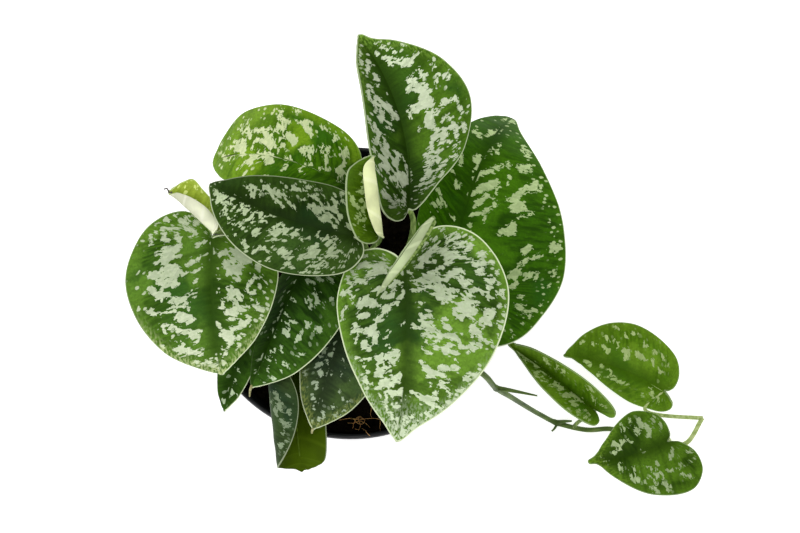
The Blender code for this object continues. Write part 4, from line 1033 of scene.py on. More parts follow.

# The left centre leaf is a dark satin blade at the end of a petiole from the centre stem. It lies nearly
# level across the middle of the plant, over the edges of the leaves beside it.
# Its right half and its base are darkened with painted shade.
centre_skin = leaf_finish("centre_satin", (26, 46, 6), (50, 78, 22), (72, 104, 34), (178, 193, 154),
                          pale_margin_and_highlight=(0.65, 0.3), half_shade=(0, 0.2), base_shade=0.2, seed=4)
LEFT_CENTRE = Leaf(
    (3.5, -3, 209), (-64.5, 28, 199), (24, 22.5), "stem_centre", 0.8, (-3, 6, 18), (6, 0, -14),
    lift=4, side=-5, fold=(0, 0), curl=(-20, -15), lobe=(0.09, 0.06), shoulder=(0.38, 0.21),
    blunt=(-0.08, -0.05), drop=5, rows=160, columns=54)
CENTRE_SILVER = [
    (216, 193, 220, 198, 4), (219, 198, 234, 198, 4), (219, 203, 228, 203, 4), (226, 206, 224, 213, 3.5),
    (223, 214, 223, 216, 2.5), (234, 207, 241, 206, 2), (240, 206, 253, 206, 2.5), (243, 209, 247, 210, 3.5),
    (236, 215, 245, 213, 3.5), (239, 211, 246, 212, 3.5), (252, 213, 262, 213, 3), (229, 219, 235, 221, 3.5),
    (231, 224, 235, 224, 3.5), (227, 217, 230, 219, 1.5), (240, 224, 242, 226, 1.5),
    (243, 228, 249, 227, 2.5), (244, 230, 245, 231, 2), (247, 221, 256, 218, 3.5), (252, 223, 256, 222, 4),
    (256, 218, 262, 217, 2.5), (262, 217, 275, 216, 1.5), (262, 222, 267, 222, 1.5),
    (255, 234, 260, 230, 3.5), (236, 235, 237, 236, 2.5), (231, 231, 233, 229, 1.5), (243, 240, 246, 246, 4),
    (254, 252, 259, 248, 3.5), (265, 249, 270, 254, 2), (266, 259, 269, 260, 2), (267, 239, 270, 238, 2),
    (274, 226, 281, 225, 3), (274, 228, 276, 233, 3.5), (273, 233, 279, 232, 4), (274, 237, 275, 240, 2.5),
    (273, 242, 272, 247, 1.5), (268, 229, 273, 230, 1.5), (282, 229, 286, 229, 1.5),
    (278, 233, 288, 233, 1.5), (280, 241, 285, 240, 1.5), (281, 251, 288, 252, 5), (283, 257, 289, 257, 6),
    (286, 262, 289, 264, 3.5), (293, 230, 301, 230, 2), (293, 234, 299, 234, 6), (293, 238, 298, 237, 2.5),
    (299, 250, 302, 249, 2.5), (300, 255, 303, 254, 3.5), (298, 258, 300, 257, 2.5),
    (290, 268, 294, 268, 2.5), (302, 239, 310, 238, 2.5), (300, 273, 304, 273, 1.5),
    (311, 247, 317, 246, 3.5), (309, 251, 318, 252, 6), (308, 257, 315, 257, 5), (307, 262, 315, 262, 3.5),
    (307, 266, 315, 265, 2.5), (312, 266, 326, 266, 3.5), (306, 269, 308, 271, 1.5),
    (316, 236, 322, 235, 3.5), (318, 232, 320, 232, 1.5), (322, 236, 336, 237, 2), (325, 241, 337, 240, 3),
    (329, 244, 335, 243, 4), (331, 248, 334, 249, 3.5), (327, 253, 338, 252, 5), (329, 257, 337, 256, 3.5),
    (338, 253, 343, 253, 2), (322, 252, 324, 252, 1.5), (319, 260, 325, 261, 2.5), (321, 264, 326, 263, 2.5),
    (331, 269, 334, 268, 2.5), (341, 262, 347, 261, 1.5), (341, 266, 343, 266, 1.5),
    (346, 256, 352, 250, 1.5), (350, 252, 355, 250, 1.5), (315, 274, 318, 274, 1.5),
    (244, 186, 250, 190, 3.5), (250, 186, 261, 191, 2.5), (263, 186, 272, 192, 4), (256, 190, 268, 191, 3.5),
    (270, 191, 280, 197, 4), (278, 193, 288, 197, 4), (252, 195, 260, 195, 3.5), (275, 188, 284, 191, 1.5),
    (281, 182, 282, 184, 2), (292, 187, 295, 187, 1.5), (291, 190, 305, 190, 1.5), (306, 188, 312, 187, 3.5),
    (316, 189, 320, 190, 2), (246, 195, 247, 195, 1.5), (272, 196, 284, 207, 3), (284, 197, 293, 209, 3.5),
    (301, 200, 305, 200, 2.5), (309, 197, 311, 198, 2), (314, 197, 318, 201, 2.5), (318, 201, 321, 205, 2),
    (318, 195, 323, 198, 1.5), (323, 198, 331, 199, 1.5), (331, 199, 335, 197, 1.5), (310, 206, 318, 207, 4),
    (318, 208, 330, 209, 5), (311, 211, 315, 213, 2.5), (317, 211, 322, 212, 3.5), (328, 204, 331, 209, 4),
    (331, 210, 336, 214, 5), (336, 203, 337, 209, 2.5), (336, 216, 341, 217, 4), (327, 217, 333, 216, 5),
    (320, 218, 323, 222, 4), (326, 219, 329, 222, 4), (338, 222, 341, 218, 4), (331, 223, 336, 228, 2.5),
    (341, 194, 344, 194, 3.5), (343, 201, 347, 201, 2.5), (348, 226, 353, 227, 3.5)]
grow_leaf("left_centre_leaf", "leaf_left_centre", "leaf", LEFT_CENTRE,
          (centre_skin, under_green, petiole_green), CENTRE_SILVER)

# The left rear leaf is a full-grown but newer blade, brighter and yellower than the rest. It grows from the
# end of the rear stem, arches up and bends down to its rounded tip.
# Its base is darkened with strong painted shade.
left_rear_skin = leaf_finish("left_rear_satin", (42, 80, 2), (76, 124, 8), (142, 184, 38), (208, 226, 170),
                             pale_margin_and_highlight=(0.15, 0.2), freshness=0.75, base_shade=0.8, crease=0, seed=5)
LEFT_REAR = Leaf(
    (6, 28, 178), (-70.8, 60.5, 138), (18, 29.5), "stem_rear", 1, (0, 0, 12), (10, -4, -12),
    lift=9, side=5, fold=(0, 0), curl=(-15, -15), lobe=(0.15, 0), shoulder=(0.4, 0.6), blunt=(0.12, 0.32),
    drop=5, rows=160, columns=54)
LEFT_REAR_SILVER = [
    (278, 112, 283, 112, 4), (279, 115, 281, 116, 2.5), (296, 112, 300, 112, 1.5), (297, 122, 300, 122, 2),
    (261, 118, 261, 118, 2), (282, 119, 290, 122, 3.5), (286, 123, 289, 123, 3.5), (286, 125, 285, 133, 4),
    (283, 133, 286, 138, 4), (287, 134, 294, 140, 6), (290, 138, 293, 143, 5), (283, 138, 279, 141, 1.5),
    (278, 141, 272, 148, 2.5), (277, 147, 274, 152, 1.5), (277, 126, 277, 130, 3.5), (278, 130, 280, 127, 2),
    (305, 123, 310, 123, 2.5), (305, 125, 312, 135, 4), (307, 128, 310, 132, 5), (311, 136, 314, 137, 2),
    (324, 128, 327, 131, 4), (334, 141, 337, 139, 2.5), (335, 138, 339, 138, 2.5), (246, 119, 247, 130, 3.5),
    (245, 133, 252, 133, 4), (249, 131, 257, 130, 3.5), (251, 134, 252, 138, 2), (239, 130, 243, 130, 1.5),
    (262, 130, 270, 130, 4), (261, 133, 266, 132, 3.5), (268, 134, 270, 144, 7), (264, 142, 271, 142, 5),
    (266, 147, 264, 152, 3.5), (270, 146, 271, 150, 4), (265, 153, 272, 153, 4), (268, 156, 270, 161, 7),
    (266, 163, 268, 163, 2.5), (262, 158, 258, 162, 1.5), (258, 140, 253, 147, 3.5),
    (233, 139, 235, 135, 1.5), (231, 147, 236, 147, 3.5), (236, 143, 243, 141, 4), (238, 147, 244, 146, 7),
    (236, 151, 244, 150, 6), (234, 155, 235, 158, 2.5), (240, 154, 245, 154, 3.5), (230, 157, 231, 159, 1.5),
    (222, 154, 226, 159, 3), (221, 144, 222, 145, 1.5), (221, 166, 221, 167, 1.5), (241, 167, 247, 160, 2),
    (247, 161, 253, 160, 5), (250, 158, 258, 156, 4), (249, 164, 252, 162, 2.5), (256, 158, 262, 153, 3.5),
    (255, 150, 256, 156, 1.5), (260, 155, 266, 150, 2), (280, 151, 284, 145, 3.5), (286, 160, 289, 158, 2.5),
    (285, 155, 290, 151, 1), (281, 172, 288, 166, 1.5), (245, 174, 247, 172, 1.5), (302, 150, 312, 147, 3.5),
    (306, 152, 311, 152, 4), (307, 157, 311, 158, 4), (307, 160, 309, 164, 3.5), (306, 164, 301, 172, 2),
    (316, 151, 319, 147, 1.5), (322, 153, 330, 148, 5), (323, 149, 325, 146, 3.5), (327, 158, 333, 156, 3),
    (327, 159, 328, 165, 3.5), (323, 169, 329, 169, 3), (343, 154, 347, 150, 3.5), (342, 156, 345, 163, 4),
    (347, 149, 347, 158, 2), (341, 166, 341, 172, 4), (338, 171, 344, 172, 4), (343, 174, 350, 176, 1.5),
    (339, 176, 340, 182, 2.5)]
grow_leaf("left_rear_leaf", "leaf_left_rear", "bright_leaf", LEFT_REAR,
          (left_rear_skin, under_bright, petiole_green), LEFT_REAR_SILVER)

# The left leaf is a round, nearly flat blade of the same satin green. Its petiole leans out from the left
# stem, so the blade reaches past the rim, and its tip is dusted with pale grains.
left_skin = leaf_finish("left_satin", (42, 74, 8), (76, 116, 28), (116, 160, 52), (206, 219, 184),
                        pale_margin_and_highlight=(1, 0.35), freshness=0.6, base_shade=0.1, tip=((196, 210, 146), 0.86), seed=6)
LEFT = Leaf(
    (-63.5, 7.5, 175), (-58, -56, 166), (31, 40.1), "stem_left", 0.8, (-9, 2, 5), (4, 6, -12),
    side=2, fold=(3, 5), curl=(-15, -15), lobe=(0.03, 0.2), shoulder=(0.25, 0.27), blunt=(-0.02, 0),
    rows=170, columns=60)
LEFT_SILVER = [
    (165, 222, 168, 219, 3), (175, 216, 178, 214, 2.5), (156, 224, 159, 223, 2), (181, 221, 184, 220, 4),
    (188, 217, 190, 216, 2), (191, 222, 193, 222, 1.5), (195, 223, 199, 221, 5), (163, 229, 170, 229, 4),
    (164, 232, 165, 240, 4), (165, 240, 168, 240, 2.5), (171, 229, 178, 231, 3), (177, 233, 180, 240, 4),
    (175, 238, 180, 241, 3.5), (181, 228, 185, 225, 3), (185, 228, 196, 233, 4), (155, 234, 156, 233, 2),
    (189, 236, 192, 236, 1.5), (151, 237, 152, 245, 4), (156, 253, 166, 250, 2), (164, 250, 180, 247, 5),
    (168, 252, 176, 250, 5), (166, 256, 173, 254, 4), (160, 258, 169, 258, 5), (158, 262, 166, 262, 5),
    (155, 263, 158, 265, 2.5), (172, 258, 181, 256, 2), (167, 266, 175, 266, 4), (152, 276, 176, 274, 8),
    (162, 270, 178, 271, 7), (160, 282, 175, 281, 8), (170, 265, 178, 269, 4), (164, 287, 168, 285, 5),
    (161, 291, 164, 287, 4), (172, 286, 176, 283, 4), (150, 273, 156, 274, 3), (178, 277, 188, 273, 2),
    (188, 274, 197, 270, 1), (199, 269, 202, 267, 1.5), (187, 265, 192, 261, 2.5), (197, 259, 207, 254, 2),
    (191, 247, 198, 245, 2), (199, 245, 206, 243, 2), (194, 282, 197, 280, 1.5), (194, 291, 197, 288, 2),
    (150, 290, 153, 290, 7), (156, 296, 160, 296, 4), (158, 299, 160, 300, 3), (162, 295, 169, 295, 3),
    (160, 293, 163, 291, 2.5), (170, 297, 182, 300, 4), (171, 301, 178, 302, 4), (177, 301, 186, 302, 6),
    (184, 299, 194, 294, 4), (177, 305, 184, 306, 5), (187, 304, 189, 311, 3), (173, 308, 176, 306, 1.5),
    (162, 314, 170, 312, 3), (170, 312, 184, 314, 4), (177, 318, 190, 317, 7), (184, 321, 192, 319, 4),
    (186, 323, 187, 327, 2), (150, 313, 154, 313, 5), (163, 328, 165, 333, 2.5), (163, 326, 170, 326, 4),
    (169, 327, 178, 322, 3.5), (178, 322, 180, 320, 1.5), (178, 329, 182, 325, 3), (178, 331, 187, 332, 3.5),
    (182, 331, 190, 330, 4), (189, 331, 199, 331, 4), (191, 333, 198, 335, 5), (191, 338, 197, 338, 4),
    (190, 341, 196, 342, 2.5), (172, 338, 174, 338, 3), (162, 345, 163, 347, 2.5), (177, 347, 184, 345, 5),
    (178, 350, 184, 350, 7), (179, 354, 184, 353, 4), (180, 341, 184, 343, 3), (188, 348, 190, 352, 3),
    (189, 352, 200, 352, 5), (192, 356, 199, 354, 3), (201, 351, 203, 350, 1.5), (194, 362, 205, 364, 2),
    (207, 362, 216, 364, 3), (217, 360, 224, 363, 4), (212, 366, 222, 369, 3), (223, 357, 226, 353, 2),
    (216, 253, 219, 256, 2), (219, 254, 232, 253, 3), (224, 252, 236, 250, 4), (232, 255, 241, 252, 6),
    (234, 249, 238, 247, 3), (236, 257, 249, 260, 7), (227, 262, 238, 262, 5), (222, 264, 226, 264, 3),
    (228, 267, 239, 267, 7), (230, 273, 238, 273, 6), (234, 278, 238, 279, 5), (242, 263, 248, 262, 4),
    (240, 259, 244, 263, 5), (217, 264, 218, 269, 2), (217, 275, 219, 278, 2), (219, 290, 220, 293, 2.5),
    (228, 289, 231, 289, 3.5), (245, 270, 249, 274, 2), (258, 263, 258, 270, 3), (258, 272, 258, 274, 2),
    (260, 276, 264, 281, 3.5), (265, 282, 266, 285, 1.5), (256, 276, 253, 281, 3.5),
    (252, 282, 248, 286, 4.5), (247, 287, 248, 293, 4), (250, 294, 253, 299, 2.5), (253, 300, 254, 306, 2),
    (256, 300, 257, 303, 3), (253, 290, 254, 293, 1.5), (260, 287, 261, 288, 2), (264, 291, 264, 293, 2),
    (258, 310, 260, 310, 6), (262, 314, 259, 320, 1), (222, 299, 229, 297, 3.5), (229, 296, 236, 294, 4),
    (236, 292, 239, 297, 5), (233, 299, 240, 299, 5), (222, 303, 224, 310, 3), (219, 308, 223, 309, 3),
    (236, 301, 238, 306, 6), (227, 313, 236, 314, 8), (230, 318, 234, 318, 5), (234, 309, 241, 309, 6),
    (240, 306, 247, 307, 4), (242, 311, 246, 310, 3), (240, 314, 241, 317, 1.5), (247, 317, 250, 317, 4),
    (249, 319, 244, 325, 4.5), (243, 322, 240, 328, 5), (238, 328, 231, 331, 5), (218, 323, 221, 327, 2.5),
    (225, 333, 231, 333, 7), (225, 336, 231, 338, 8), (228, 341, 231, 342, 5), (228, 345, 229, 346, 2.5),
    (238, 333, 239, 338, 1.5), (240, 334, 244, 334, 1.5), (222, 346, 223, 349, 2), (250, 326, 249, 331, 1),
    (240, 345, 236, 349, 1.5)]
grow_leaf("left_leaf", "leaf_left", "leaf", LEFT, (left_skin, under_green, petiole_green), LEFT_SILVER)

# The four low leaves hang at the front in the shade of the others, on petioles from the left and low stems.
# The last one has rolled over along its length, so its dark top and its olive underside both show.
LOW_COLOURS = ((24, 52, 3), (56, 96, 20), (84, 128, 38), (188, 204, 170))
# Both low left leaves are darkened at the base with painted shade, and the nearer one on its right half too,
# which folds down.
low_skin = leaf_finish("low_satin", *LOW_COLOURS, pale_margin_and_highlight=(1, 0.05), half_shade=(0, 0.35), base_shade=0.6, flecks=0.4,
                       seed=7)
low_far_skin = leaf_finish("low_far_satin", *LOW_COLOURS, pale_margin_and_highlight=(1, 0.05), base_shade=0.6, flecks=0.4, seed=7)
dusky_skin = leaf_finish("dusky_satin", (38, 52, 30), (68, 88, 52), (94, 124, 58), (166, 180, 154),
                         pale_margin_and_highlight=(0.85, 0.85), flecks=0.3, tip=((152, 164, 86), 0.94), seed=12)
curled_skin = leaf_finish("curled_satin", (32, 48, 18), (56, 74, 38), (72, 96, 48), (136, 152, 122),
                          pale_margin_and_highlight=(0.35, 0.35), flecks=0.3, seed=13)
under_olive = under_finish("under_olive", (74, 98, 6), (88, 113, 18))
LOW_LEFT = Leaf(
    (-20.5, -1, 164), (-46, -58, 148), (28, 12), "stem_left", 0.45, (6, 4, 14), (6, 8, -14),
    fold=(5, -35), curl=(-15, -10), lobe=(0.15, 0.15))
LOW_LEFT_SILVER = [
    (295, 280, 297, 283, 1.5), (308, 280, 311, 282, 3), (315, 278, 322, 281, 3.5), (314, 283, 315, 288, 2),
    (328, 279, 333, 282, 3.5), (320, 289, 321, 292, 1.5), (308, 300, 315, 300, 5), (309, 296, 314, 296, 3),
    (311, 304, 312, 307, 3), (318, 301, 321, 306, 2), (323, 305, 324, 309, 1.5), (327, 301, 333, 298, 2),
    (289, 293, 291, 298, 2), (292, 298, 296, 302, 1.5), (287, 303, 288, 305, 1), (282, 311, 285, 316, 3),
    (286, 316, 290, 318, 3), (289, 320, 295, 322, 3.5), (288, 322, 289, 329, 1.5), (280, 316, 280, 321, 1),
    (275, 329, 275, 334, 2), (281, 332, 286, 333, 3.5), (284, 330, 287, 337, 3), (281, 336, 284, 337, 2),
    (306, 324, 311, 324, 3), (307, 327, 310, 329, 3), (313, 334, 315, 329, 1.5), (317, 329, 321, 327, 2),
    (318, 331, 320, 330, 2), (302, 331, 297, 339, 2), (298, 338, 296, 345, 2), (295, 346, 295, 349, 1.5),
    (301, 335, 300, 340, 2), (297, 353, 303, 356, 2), (302, 354, 304, 354, 1.5), (281, 347, 282, 351, 2.5),
    (271, 350, 271, 355, 1.5), (275, 348, 275, 351, 1), (263, 355, 263, 359, 2), (277, 361, 277, 366, 1.5),
    (282, 366, 285, 363, 2), (285, 362, 288, 367, 2), (289, 368, 290, 370, 1.5), (280, 371, 280, 373, 1.5),
    (269, 361, 269, 364, 1), (269, 370, 269, 372, 1), (264, 374, 264, 378, 1), (256, 370, 257, 374, 1),
    (258, 361, 258, 365, 1), (267, 381, 268, 379, 1), (272, 378, 275, 380, 1), (264, 382, 268, 383, 1)]
LOW_FAR_LEFT = Leaf(
    (-47, -24, 143), (-60.5, -64, 124), (9, 10), "stem_left", 0.28, (-6, -6, 12), (4, 9, -9),
    petiole=1.1, rows=90, columns=24, veins=7)
LOW_FAR_LEFT_SILVER = [
    (245, 350, 246, 354, 2.5), (235, 366, 237, 368, 3.5), (233, 384, 235, 380, 2.5),
    (229, 395, 231, 390, 2.5), (233, 392, 230, 396, 2), (236, 396, 237, 394, 1.5), (224, 401, 226, 405, 2),
    (240, 373, 240, 376, 1)]
LOW_CENTRE = Leaf(
    (1, -15, 148), (-17.5, -75, 134), (26, 17), "stem_low_centre", 1, (0, 0, 8), (3, 6, -10),
    lobe=(0.06, 0.2), rows=130, columns=44)
LOW_CENTRE_SILVER = [
    (327, 344, 333, 341, 4), (328, 341, 333, 339, 2.5), (321, 356, 325, 351, 4), (330, 354, 333, 351, 4),
    (332, 356, 333, 356, 2), (317, 366, 321, 364, 4), (319, 369, 319, 370, 2), (326, 363, 327, 360, 1.5),
    (321, 372, 321, 376, 2.5), (328, 375, 331, 371, 2), (344, 359, 344, 363, 1.5), (342, 371, 341, 377, 1.5),
    (343, 370, 346, 378, 1.5), (348, 379, 348, 383, 1), (317, 384, 316, 389, 2), (324, 388, 324, 391, 1.5),
    (339, 390, 340, 394, 2), (343, 398, 343, 401, 1.5), (345, 404, 347, 402, 2), (321, 400, 319, 404, 1.5),
    (313, 397, 315, 402, 1.5), (314, 406, 314, 408, 1.5), (313, 383, 314, 384, 1), (332, 409, 334, 406, 1),
    (323, 412, 324, 417, 1.5), (335, 415, 337, 413, 1.5), (314, 418, 314, 423, 1.5), (319, 419, 318, 424, 1),
    (316, 416, 318, 421, 1.5), (340, 418, 344, 412, 1.5), (305, 372, 306, 376, 1), (312, 394, 313, 395, 1)]
LOW_CURLED = Leaf(
    (-29, -40, 130), (-23.5, -89.6, 108), (35, 16), "stem_low_left", 1, (0, 0, 6), (-1, 6, -6),
    lift=4, roll=165, fold=(-5, -5), curl=(-215, -20), lobe=(0.1, 0.1), shoulder=(0.3, 0.5),
    blunt=(0.02, 0.24), rows=120, columns=60, wave=0)
LOW_CURLED_SILVER = [
    (267, 392, 268, 398, 2), (275, 392, 277, 398, 4.5), (272, 402, 272, 406, 1.5), (279, 403, 281, 408, 4.5),
    (275, 410, 276, 412, 1.5), (277, 414, 278, 415, 2), (282, 412, 285, 415, 1), (289, 412, 290, 417, 3),
    (281, 420, 283, 422, 3), (287, 425, 291, 424, 3), (284, 429, 284, 433, 3), (281, 443, 282, 446, 1.5),
    (283, 442, 288, 442, 2), (287, 450, 286, 453, 1), (295, 404, 296, 406, 2), (289, 393, 291, 396, 2)]
grow_leaf("low_left_leaf", "leaf_low_left", "low_leaf", LOW_LEFT,
          (low_skin, under_green, petiole_green), LOW_LEFT_SILVER)
grow_leaf("low_far_left_leaf", "leaf_low_far_left", "low_leaf", LOW_FAR_LEFT,
          (low_far_skin, under_green, petiole_green), LOW_FAR_LEFT_SILVER)
grow_leaf("low_centre_leaf", "leaf_low_centre", "low_leaf", LOW_CENTRE,
          (dusky_skin, under_green, petiole_green), LOW_CENTRE_SILVER)
olive_rib = stem_finish("olive_rib", (72, 96, 8), (104, 130, 34))
grow_leaf("low_curled_leaf", "leaf_low_curled", "low_leaf", LOW_CURLED,
          (curled_skin, under_olive, olive_rib), LOW_CURLED_SILVER)

# The three young leaves: soft thin blades at the ends of the centre, front and left stems. They are still
# rolled, with the pale underside of a margin turned up.
young_skin = leaf_finish("young_satin", (48, 80, 1), (76, 110, 12), (106, 142, 30), (160, 182, 116),
                         pale_margin_and_highlight=(0.45, 0.45), base_shade=0.1, seed=8)
lime_skin = leaf_finish("lime_satin", (132, 156, 28), (162, 184, 52), (190, 212, 90), (204, 222, 128),
                        pale_margin_and_highlight=(0.5, 0.5), base_shade=0, seed=10)
under_young = under_finish("under_young", (238, 246, 186), (250, 254, 214))
# The far left leaf's underside is pale, and its colour is raised further as painted light where the roll
# faces the lamps.
under_far_pale_and_lit = under_finish("under_far_pale_and_lit", (252, 255, 222), (255, 255, 236))
under_dusky = under_finish("under_dusky", (198, 214, 164), (228, 240, 192))
YOUNG_LEFT = Leaf(
    (15, -4, 214), (10.6, 31.3, 222), (15, 10), "stem_centre", 1, (0, 0, 10), (1, -2, -8),
    lift=1, fold=(14, 45), curl=(25, 165), lobe=(0.1, 0.05), shoulder=(0.3, 0.35), blunt=(0.2, 0.34),
    petiole=1.0, rows=90, columns=36, veins=7, wave=0.15)
YOUNG_LEFT_SILVER = [
    (360, 174, 360, 177, 2), (364, 177, 362, 188, 2), (359, 185, 363, 187, 2), (357, 191, 365, 192, 2.5),
    (363, 194, 367, 196, 3), (362, 198, 366, 200, 2), (366, 200, 366, 207, 2), (352, 198, 352, 202, 1.5),
    (355, 204, 353, 206, 1.5), (358, 208, 357, 209, 2), (359, 212, 361, 216, 1), (363, 215, 366, 214, 2),
    (356, 217, 355, 218, 1.5), (366, 218, 368, 218, 2), (358, 222, 362, 222, 1), (365, 222, 364, 226, 1)]
YOUNG_FRONT = Leaf(
    (38, -0.5, 224), (13.5, -35, 226), (3.7, 5), "stem_front", 1, (3, 10, 16), (5, 12, -16),
    lift=1, side=-2, roll=-90, fold=(20, 20), curl=(120, 130), lobe=(0.05, 0.05), shoulder=(0.4, 0.4),
    petiole=1.1, rows=90, columns=20, veins=6, wave=0.1)
YOUNG_FAR_LEFT = Leaf(
    (-62.5, 7.5, 185), (-83, 25.5, 190), (8, 10.6), "stem_left", 1, (0, 0, 8), (4, 3, -10),
    lift=1, fold=(76, 0), curl=(130, 0), lobe=(0.05, 0.1), shoulder=(0.3, 0.4), blunt=(0, 0.5),
    petiole=1.1, rows=80, columns=26, veins=6, wave=0.15)
YOUNG_FAR_SILVER = [(187, 182, 188, 183, 1), (187, 188, 189, 189, 1), (194, 186, 196, 188, 1.5)]
grow_leaf("young_left_leaf", "leaf_young_left", "young_leaf", YOUNG_LEFT,
          (young_skin, under_young, petiole_green), YOUNG_LEFT_SILVER)
grow_leaf("young_front_leaf", "leaf_young_front", "young_leaf", YOUNG_FRONT,
          (young_skin, under_dusky, petiole_green))
grow_leaf("young_far_left_leaf", "leaf_young_far_left", "young_leaf", YOUNG_FAR_LEFT,
          (lime_skin, under_far_pale_and_lit, petiole_green), YOUNG_FAR_SILVER)

# Dried ends: dead and brittle tissue that has not dropped off yet. A dark thread hangs at the tip of the far
# left young leaf, and two low leaves end in a short pale tail.
DRY_THREAD = [(-81.4, 25, 189.6), (-82.4, 24.1, 190.4), (-83.7, 26.3, 190.8), (-85.2, 25.9, 190.8)]
LOW_LEFT_TAIL = [(-45.6, -56.6, 148), (-46.4, -59, 148), (-46.8, -61.4, 145)]
LOW_CENTRE_TAIL = [(-17.3, -74.4, 134), (-17.7, -75.6, 133.8), (-17.8, -76.4, 133)]
dry_thread = tapered("dry_thread", DRY_THREAD, 0.5, 0.28, 20)
dry_thread.data.materials.append(stem_finish("dry_thread", (56, 52, 48), (96, 90, 82)))
finish_piece(dry_thread, "young_leaf")
pale_tails = joined([tapered("tail_of_low_left", LOW_LEFT_TAIL, 0.7, 0.35),
                     tapered("tail_of_low_centre", LOW_CENTRE_TAIL, 0.7, 0.45, 12)], "pale_tails")
pale_tails.data.materials.append(stem_finish("pale_tail", (150, 144, 92), (210, 208, 164)))
finish_piece(pale_tails, "low_leaf")

# The three leaves of the vine: small satin hearts of a brighter green, each on a short petiole from the
# vine. Two are open and one is folded along its midrib.
vine_skin = leaf_finish("vine_satin", (72, 112, 6), (98, 142, 20), (132, 174, 44), (186, 206, 138),
                        pale_margin_and_highlight=(0.25, 0.25), freshness=0.6, base_shade=0.1, flecks=0.3, seed=9)
vine_low_skin = leaf_finish("vine_low_satin", (36, 64, 3), (58, 92, 12), (104, 148, 34), (176, 194, 146),
                            pale_margin_and_highlight=(0.25, 0.25), freshness=0.7, base_shade=0.1, flecks=0.3,
                            tip=((126, 164, 50), 0.85), seed=11)
petiole_pale = stem_finish("petiole_pale", (154, 176, 98), (196, 210, 146))
VINE_NEAR = Leaf(
    (126.5, -41, 30), (81, -9, 44), (13, 17.5), "vine", 0.72, (0, 3, 8), (3, -1, -8),
    fold=(26, 74), curl=(0, 0), lobe=(0.1, 0.16), shoulder=(0.24, 0.23), blunt=(-0.2, 0.05),
    petiole=1.0, rows=110, columns=30, veins=8, wave=0.15)
VINE_NEAR_SILVER = [
    (517, 352, 522, 355, 2), (524, 358, 532, 364, 2), (532, 362, 540, 368, 2.5), (540, 371, 550, 377, 1.5),
    (536, 374, 541, 378, 3.5), (542, 378, 548, 381, 2), (552, 384, 560, 387, 4), (558, 384, 568, 392, 2),
    (565, 396, 574, 396, 6), (570, 392, 578, 396, 3), (572, 402, 577, 406, 4), (578, 400, 582, 404, 3),
    (582, 398, 588, 404, 1.5), (560, 393, 561, 393, 2), (557, 397, 557, 397, 1.5), (568, 409, 569, 411, 2.5),
    (584, 410, 589, 415, 1.5), (579, 413, 579, 414, 2.5), (585, 417, 588, 419, 2), (543, 357, 548, 362, 2),
    (558, 367, 564, 371, 3), (589, 388, 592, 390, 3), (594, 398, 595, 402, 2), (600, 404, 606, 406, 1)]
VINE_UPPER = Leaf(
    (164, -31, 30), (111.5, -10.5, 26), (18.5, 26), "vine", 1, (-34, 0, 6), (-16, -7, -22),
    side=2.5, fold=(-50, 5), curl=(-10, -10), lobe=(0.15, 0.09), shoulder=(0.22, 0.44),
    blunt=(-0.25, -0.06), petiole=1.0, rows=110, columns=40, veins=8, wave=0.2)
VINE_UPPER_SILVER = [
    (615, 328, 617, 329, 2), (606, 336, 608, 342, 2.5), (604, 346, 608, 351, 3), (616, 341, 617, 347, 2.5),
    (626, 333, 626, 336, 2), (632, 334, 638, 334, 2), (645, 342, 646, 345, 2.5), (641, 346, 643, 343, 1),
    (624, 351, 628, 351, 4), (626, 353, 626, 359, 3.5), (638, 354, 645, 359, 3.5), (653, 355, 655, 352, 2.5),
    (653, 361, 653, 366, 2), (662, 354, 664, 361, 1), (667, 365, 668, 367, 1), (659, 371, 661, 373, 2),
    (609, 367, 613, 374, 2), (610, 376, 615, 376, 3.5), (613, 377, 622, 383, 2), (625, 382, 627, 383, 2),
    (598, 374, 599, 376, 2.5), (602, 366, 603, 367, 2), (581, 343, 583, 343, 2), (594, 344, 597, 344, 1.5),
    (586, 361, 590, 364, 2), (643, 393, 644, 397, 1.5), (650, 388, 655, 398, 2), (657, 397, 658, 400, 1.5)]
VINE_LOWER = Leaf(
    (164, -59.5, 36), (122.5, -69, 30), (28.5, 21.5), "vine", 0.9, (1, 3, 10), (3, 1, -8),
    side=-2.5, lobe=(0.2, 0.09), shoulder=(0.02, 0.27), blunt=(-0.25, -0.2),
    petiole=1.0, rows=110, columns=40, veins=8, wave=0.2)
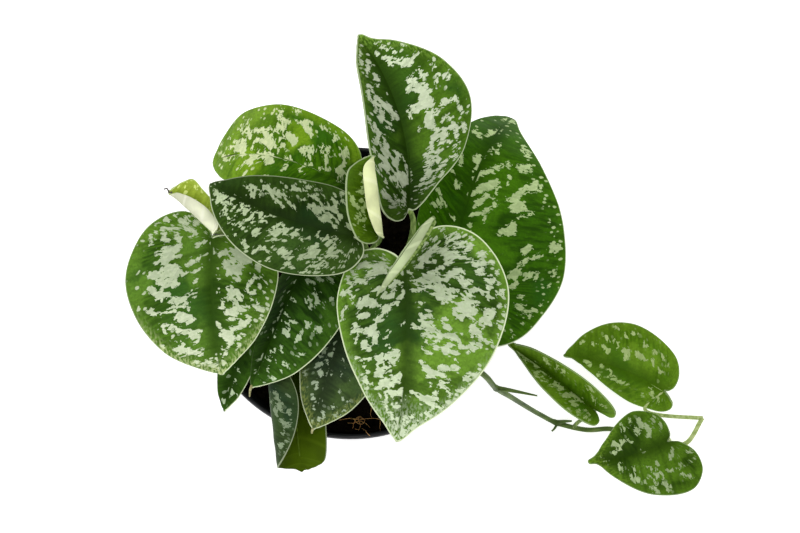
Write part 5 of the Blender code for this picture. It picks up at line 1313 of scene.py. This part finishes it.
VINE_LOWER_SILVER = [
    (622, 425, 624, 433, 1.5), (630, 421, 630, 426, 1.5), (639, 420, 640, 426, 2), (636, 428, 638, 432, 4),
    (641, 424, 641, 428, 1.5), (647, 424, 646, 428, 1.5), (649, 430, 648, 436, 2), (653, 417, 653, 423, 1.5),
    (660, 425, 661, 429, 1.5), (614, 441, 618, 447, 1.5), (617, 444, 624, 441, 1.5),
    (613, 444, 620, 444, 1.5), (630, 442, 633, 442, 3.5), (613, 453, 615, 453, 3), (617, 451, 620, 449, 1),
    (602, 457, 603, 458, 1), (604, 461, 605, 461, 1), (642, 450, 644, 452, 1.5), (654, 461, 659, 465, 1.5),
    (645, 466, 656, 470, 2), (650, 469, 658, 477, 1.5), (657, 470, 663, 479, 1), (620, 465, 622, 471, 2.5),
    (629, 471, 632, 475, 2), (634, 478, 638, 481, 3), (633, 469, 634, 469, 2), (649, 477, 651, 478, 2.5),
    (671, 450, 671, 459, 2), (668, 469, 679, 470, 2.5), (680, 464, 684, 466, 1.5), (682, 473, 692, 478, 2),
    (687, 452, 692, 451, 1.5), (690, 461, 694, 459, 1.5), (642, 480, 645, 482, 2), (654, 480, 656, 484, 2),
    (653, 488, 658, 494, 3.5), (664, 483, 669, 491, 2.5), (671, 482, 671, 486, 1.5)]
grow_leaf("vine_near_leaf", "leaf_vine_near", "bright_leaf", VINE_NEAR,
          (vine_skin, under_bright, petiole_green), VINE_NEAR_SILVER)
grow_leaf("vine_upper_leaf", "leaf_vine_upper", "bright_leaf", VINE_UPPER,
          (vine_skin, under_bright, petiole_pale), VINE_UPPER_SILVER)
grow_leaf("vine_lower_leaf", "leaf_vine_lower", "bright_leaf", VINE_LOWER,
          (vine_low_skin, under_bright, petiole_pale), VINE_LOWER_SILVER)

# The studio: a pale floor just under the pot, one broad soft light over it, a weaker one at each side, and a
# bright even surround. None of it is part of the plant.
PAPER_LEVEL = -0.2 * MM
LAMPS = [((-0.3, -0.1, 1.5), 1.6, 15), ((1.2, 0.6, 1.0), 1.0, 4.5), ((-1.2, -0.8, 0.9), 1.0, 4)]
SURROUND_STRENGTH = 0.32
bpy.ops.object.select_all(action="DESELECT")
bpy.ops.mesh.primitive_circle_add(vertices=96, radius=3, fill_type="NGON", location=(0, 0, PAPER_LEVEL))
floor = bpy.context.object
floor.name = "studio_floor"
paper = Finish("pale_paper", 0.9, Specular_IOR_Level=0.1, Emission_Color=(1, 1, 1, 1),
               Emission_Strength=0.65)
paper.colour(paper.mix(paper.cloud(6, 2), paint(248, 248, 248), paint(252, 252, 252)))
floor.data.materials.append(paper.material)
for place, size, power in LAMPS:
    bpy.ops.object.light_add(type="AREA", location=place)
    lamp = bpy.context.object
    lamp.data.size = size
    lamp.data.energy = power
    away = -np.array(place)
    lamp.rotation_euler = (math.atan2(math.hypot(away[0], away[1]), -away[2]), 0,
                           math.atan2(away[0], -away[1]) + math.pi)
surround = bpy.data.worlds.new("bright_surround")
bpy.context.scene.world = surround
surround.use_nodes = True
surround.node_tree.nodes["Background"].inputs["Color"].default_value = (1, 1, 1, 1)
surround.node_tree.nodes["Background"].inputs["Strength"].default_value = SURROUND_STRENGTH
bpy.context.scene.view_settings.view_transform = "Standard"
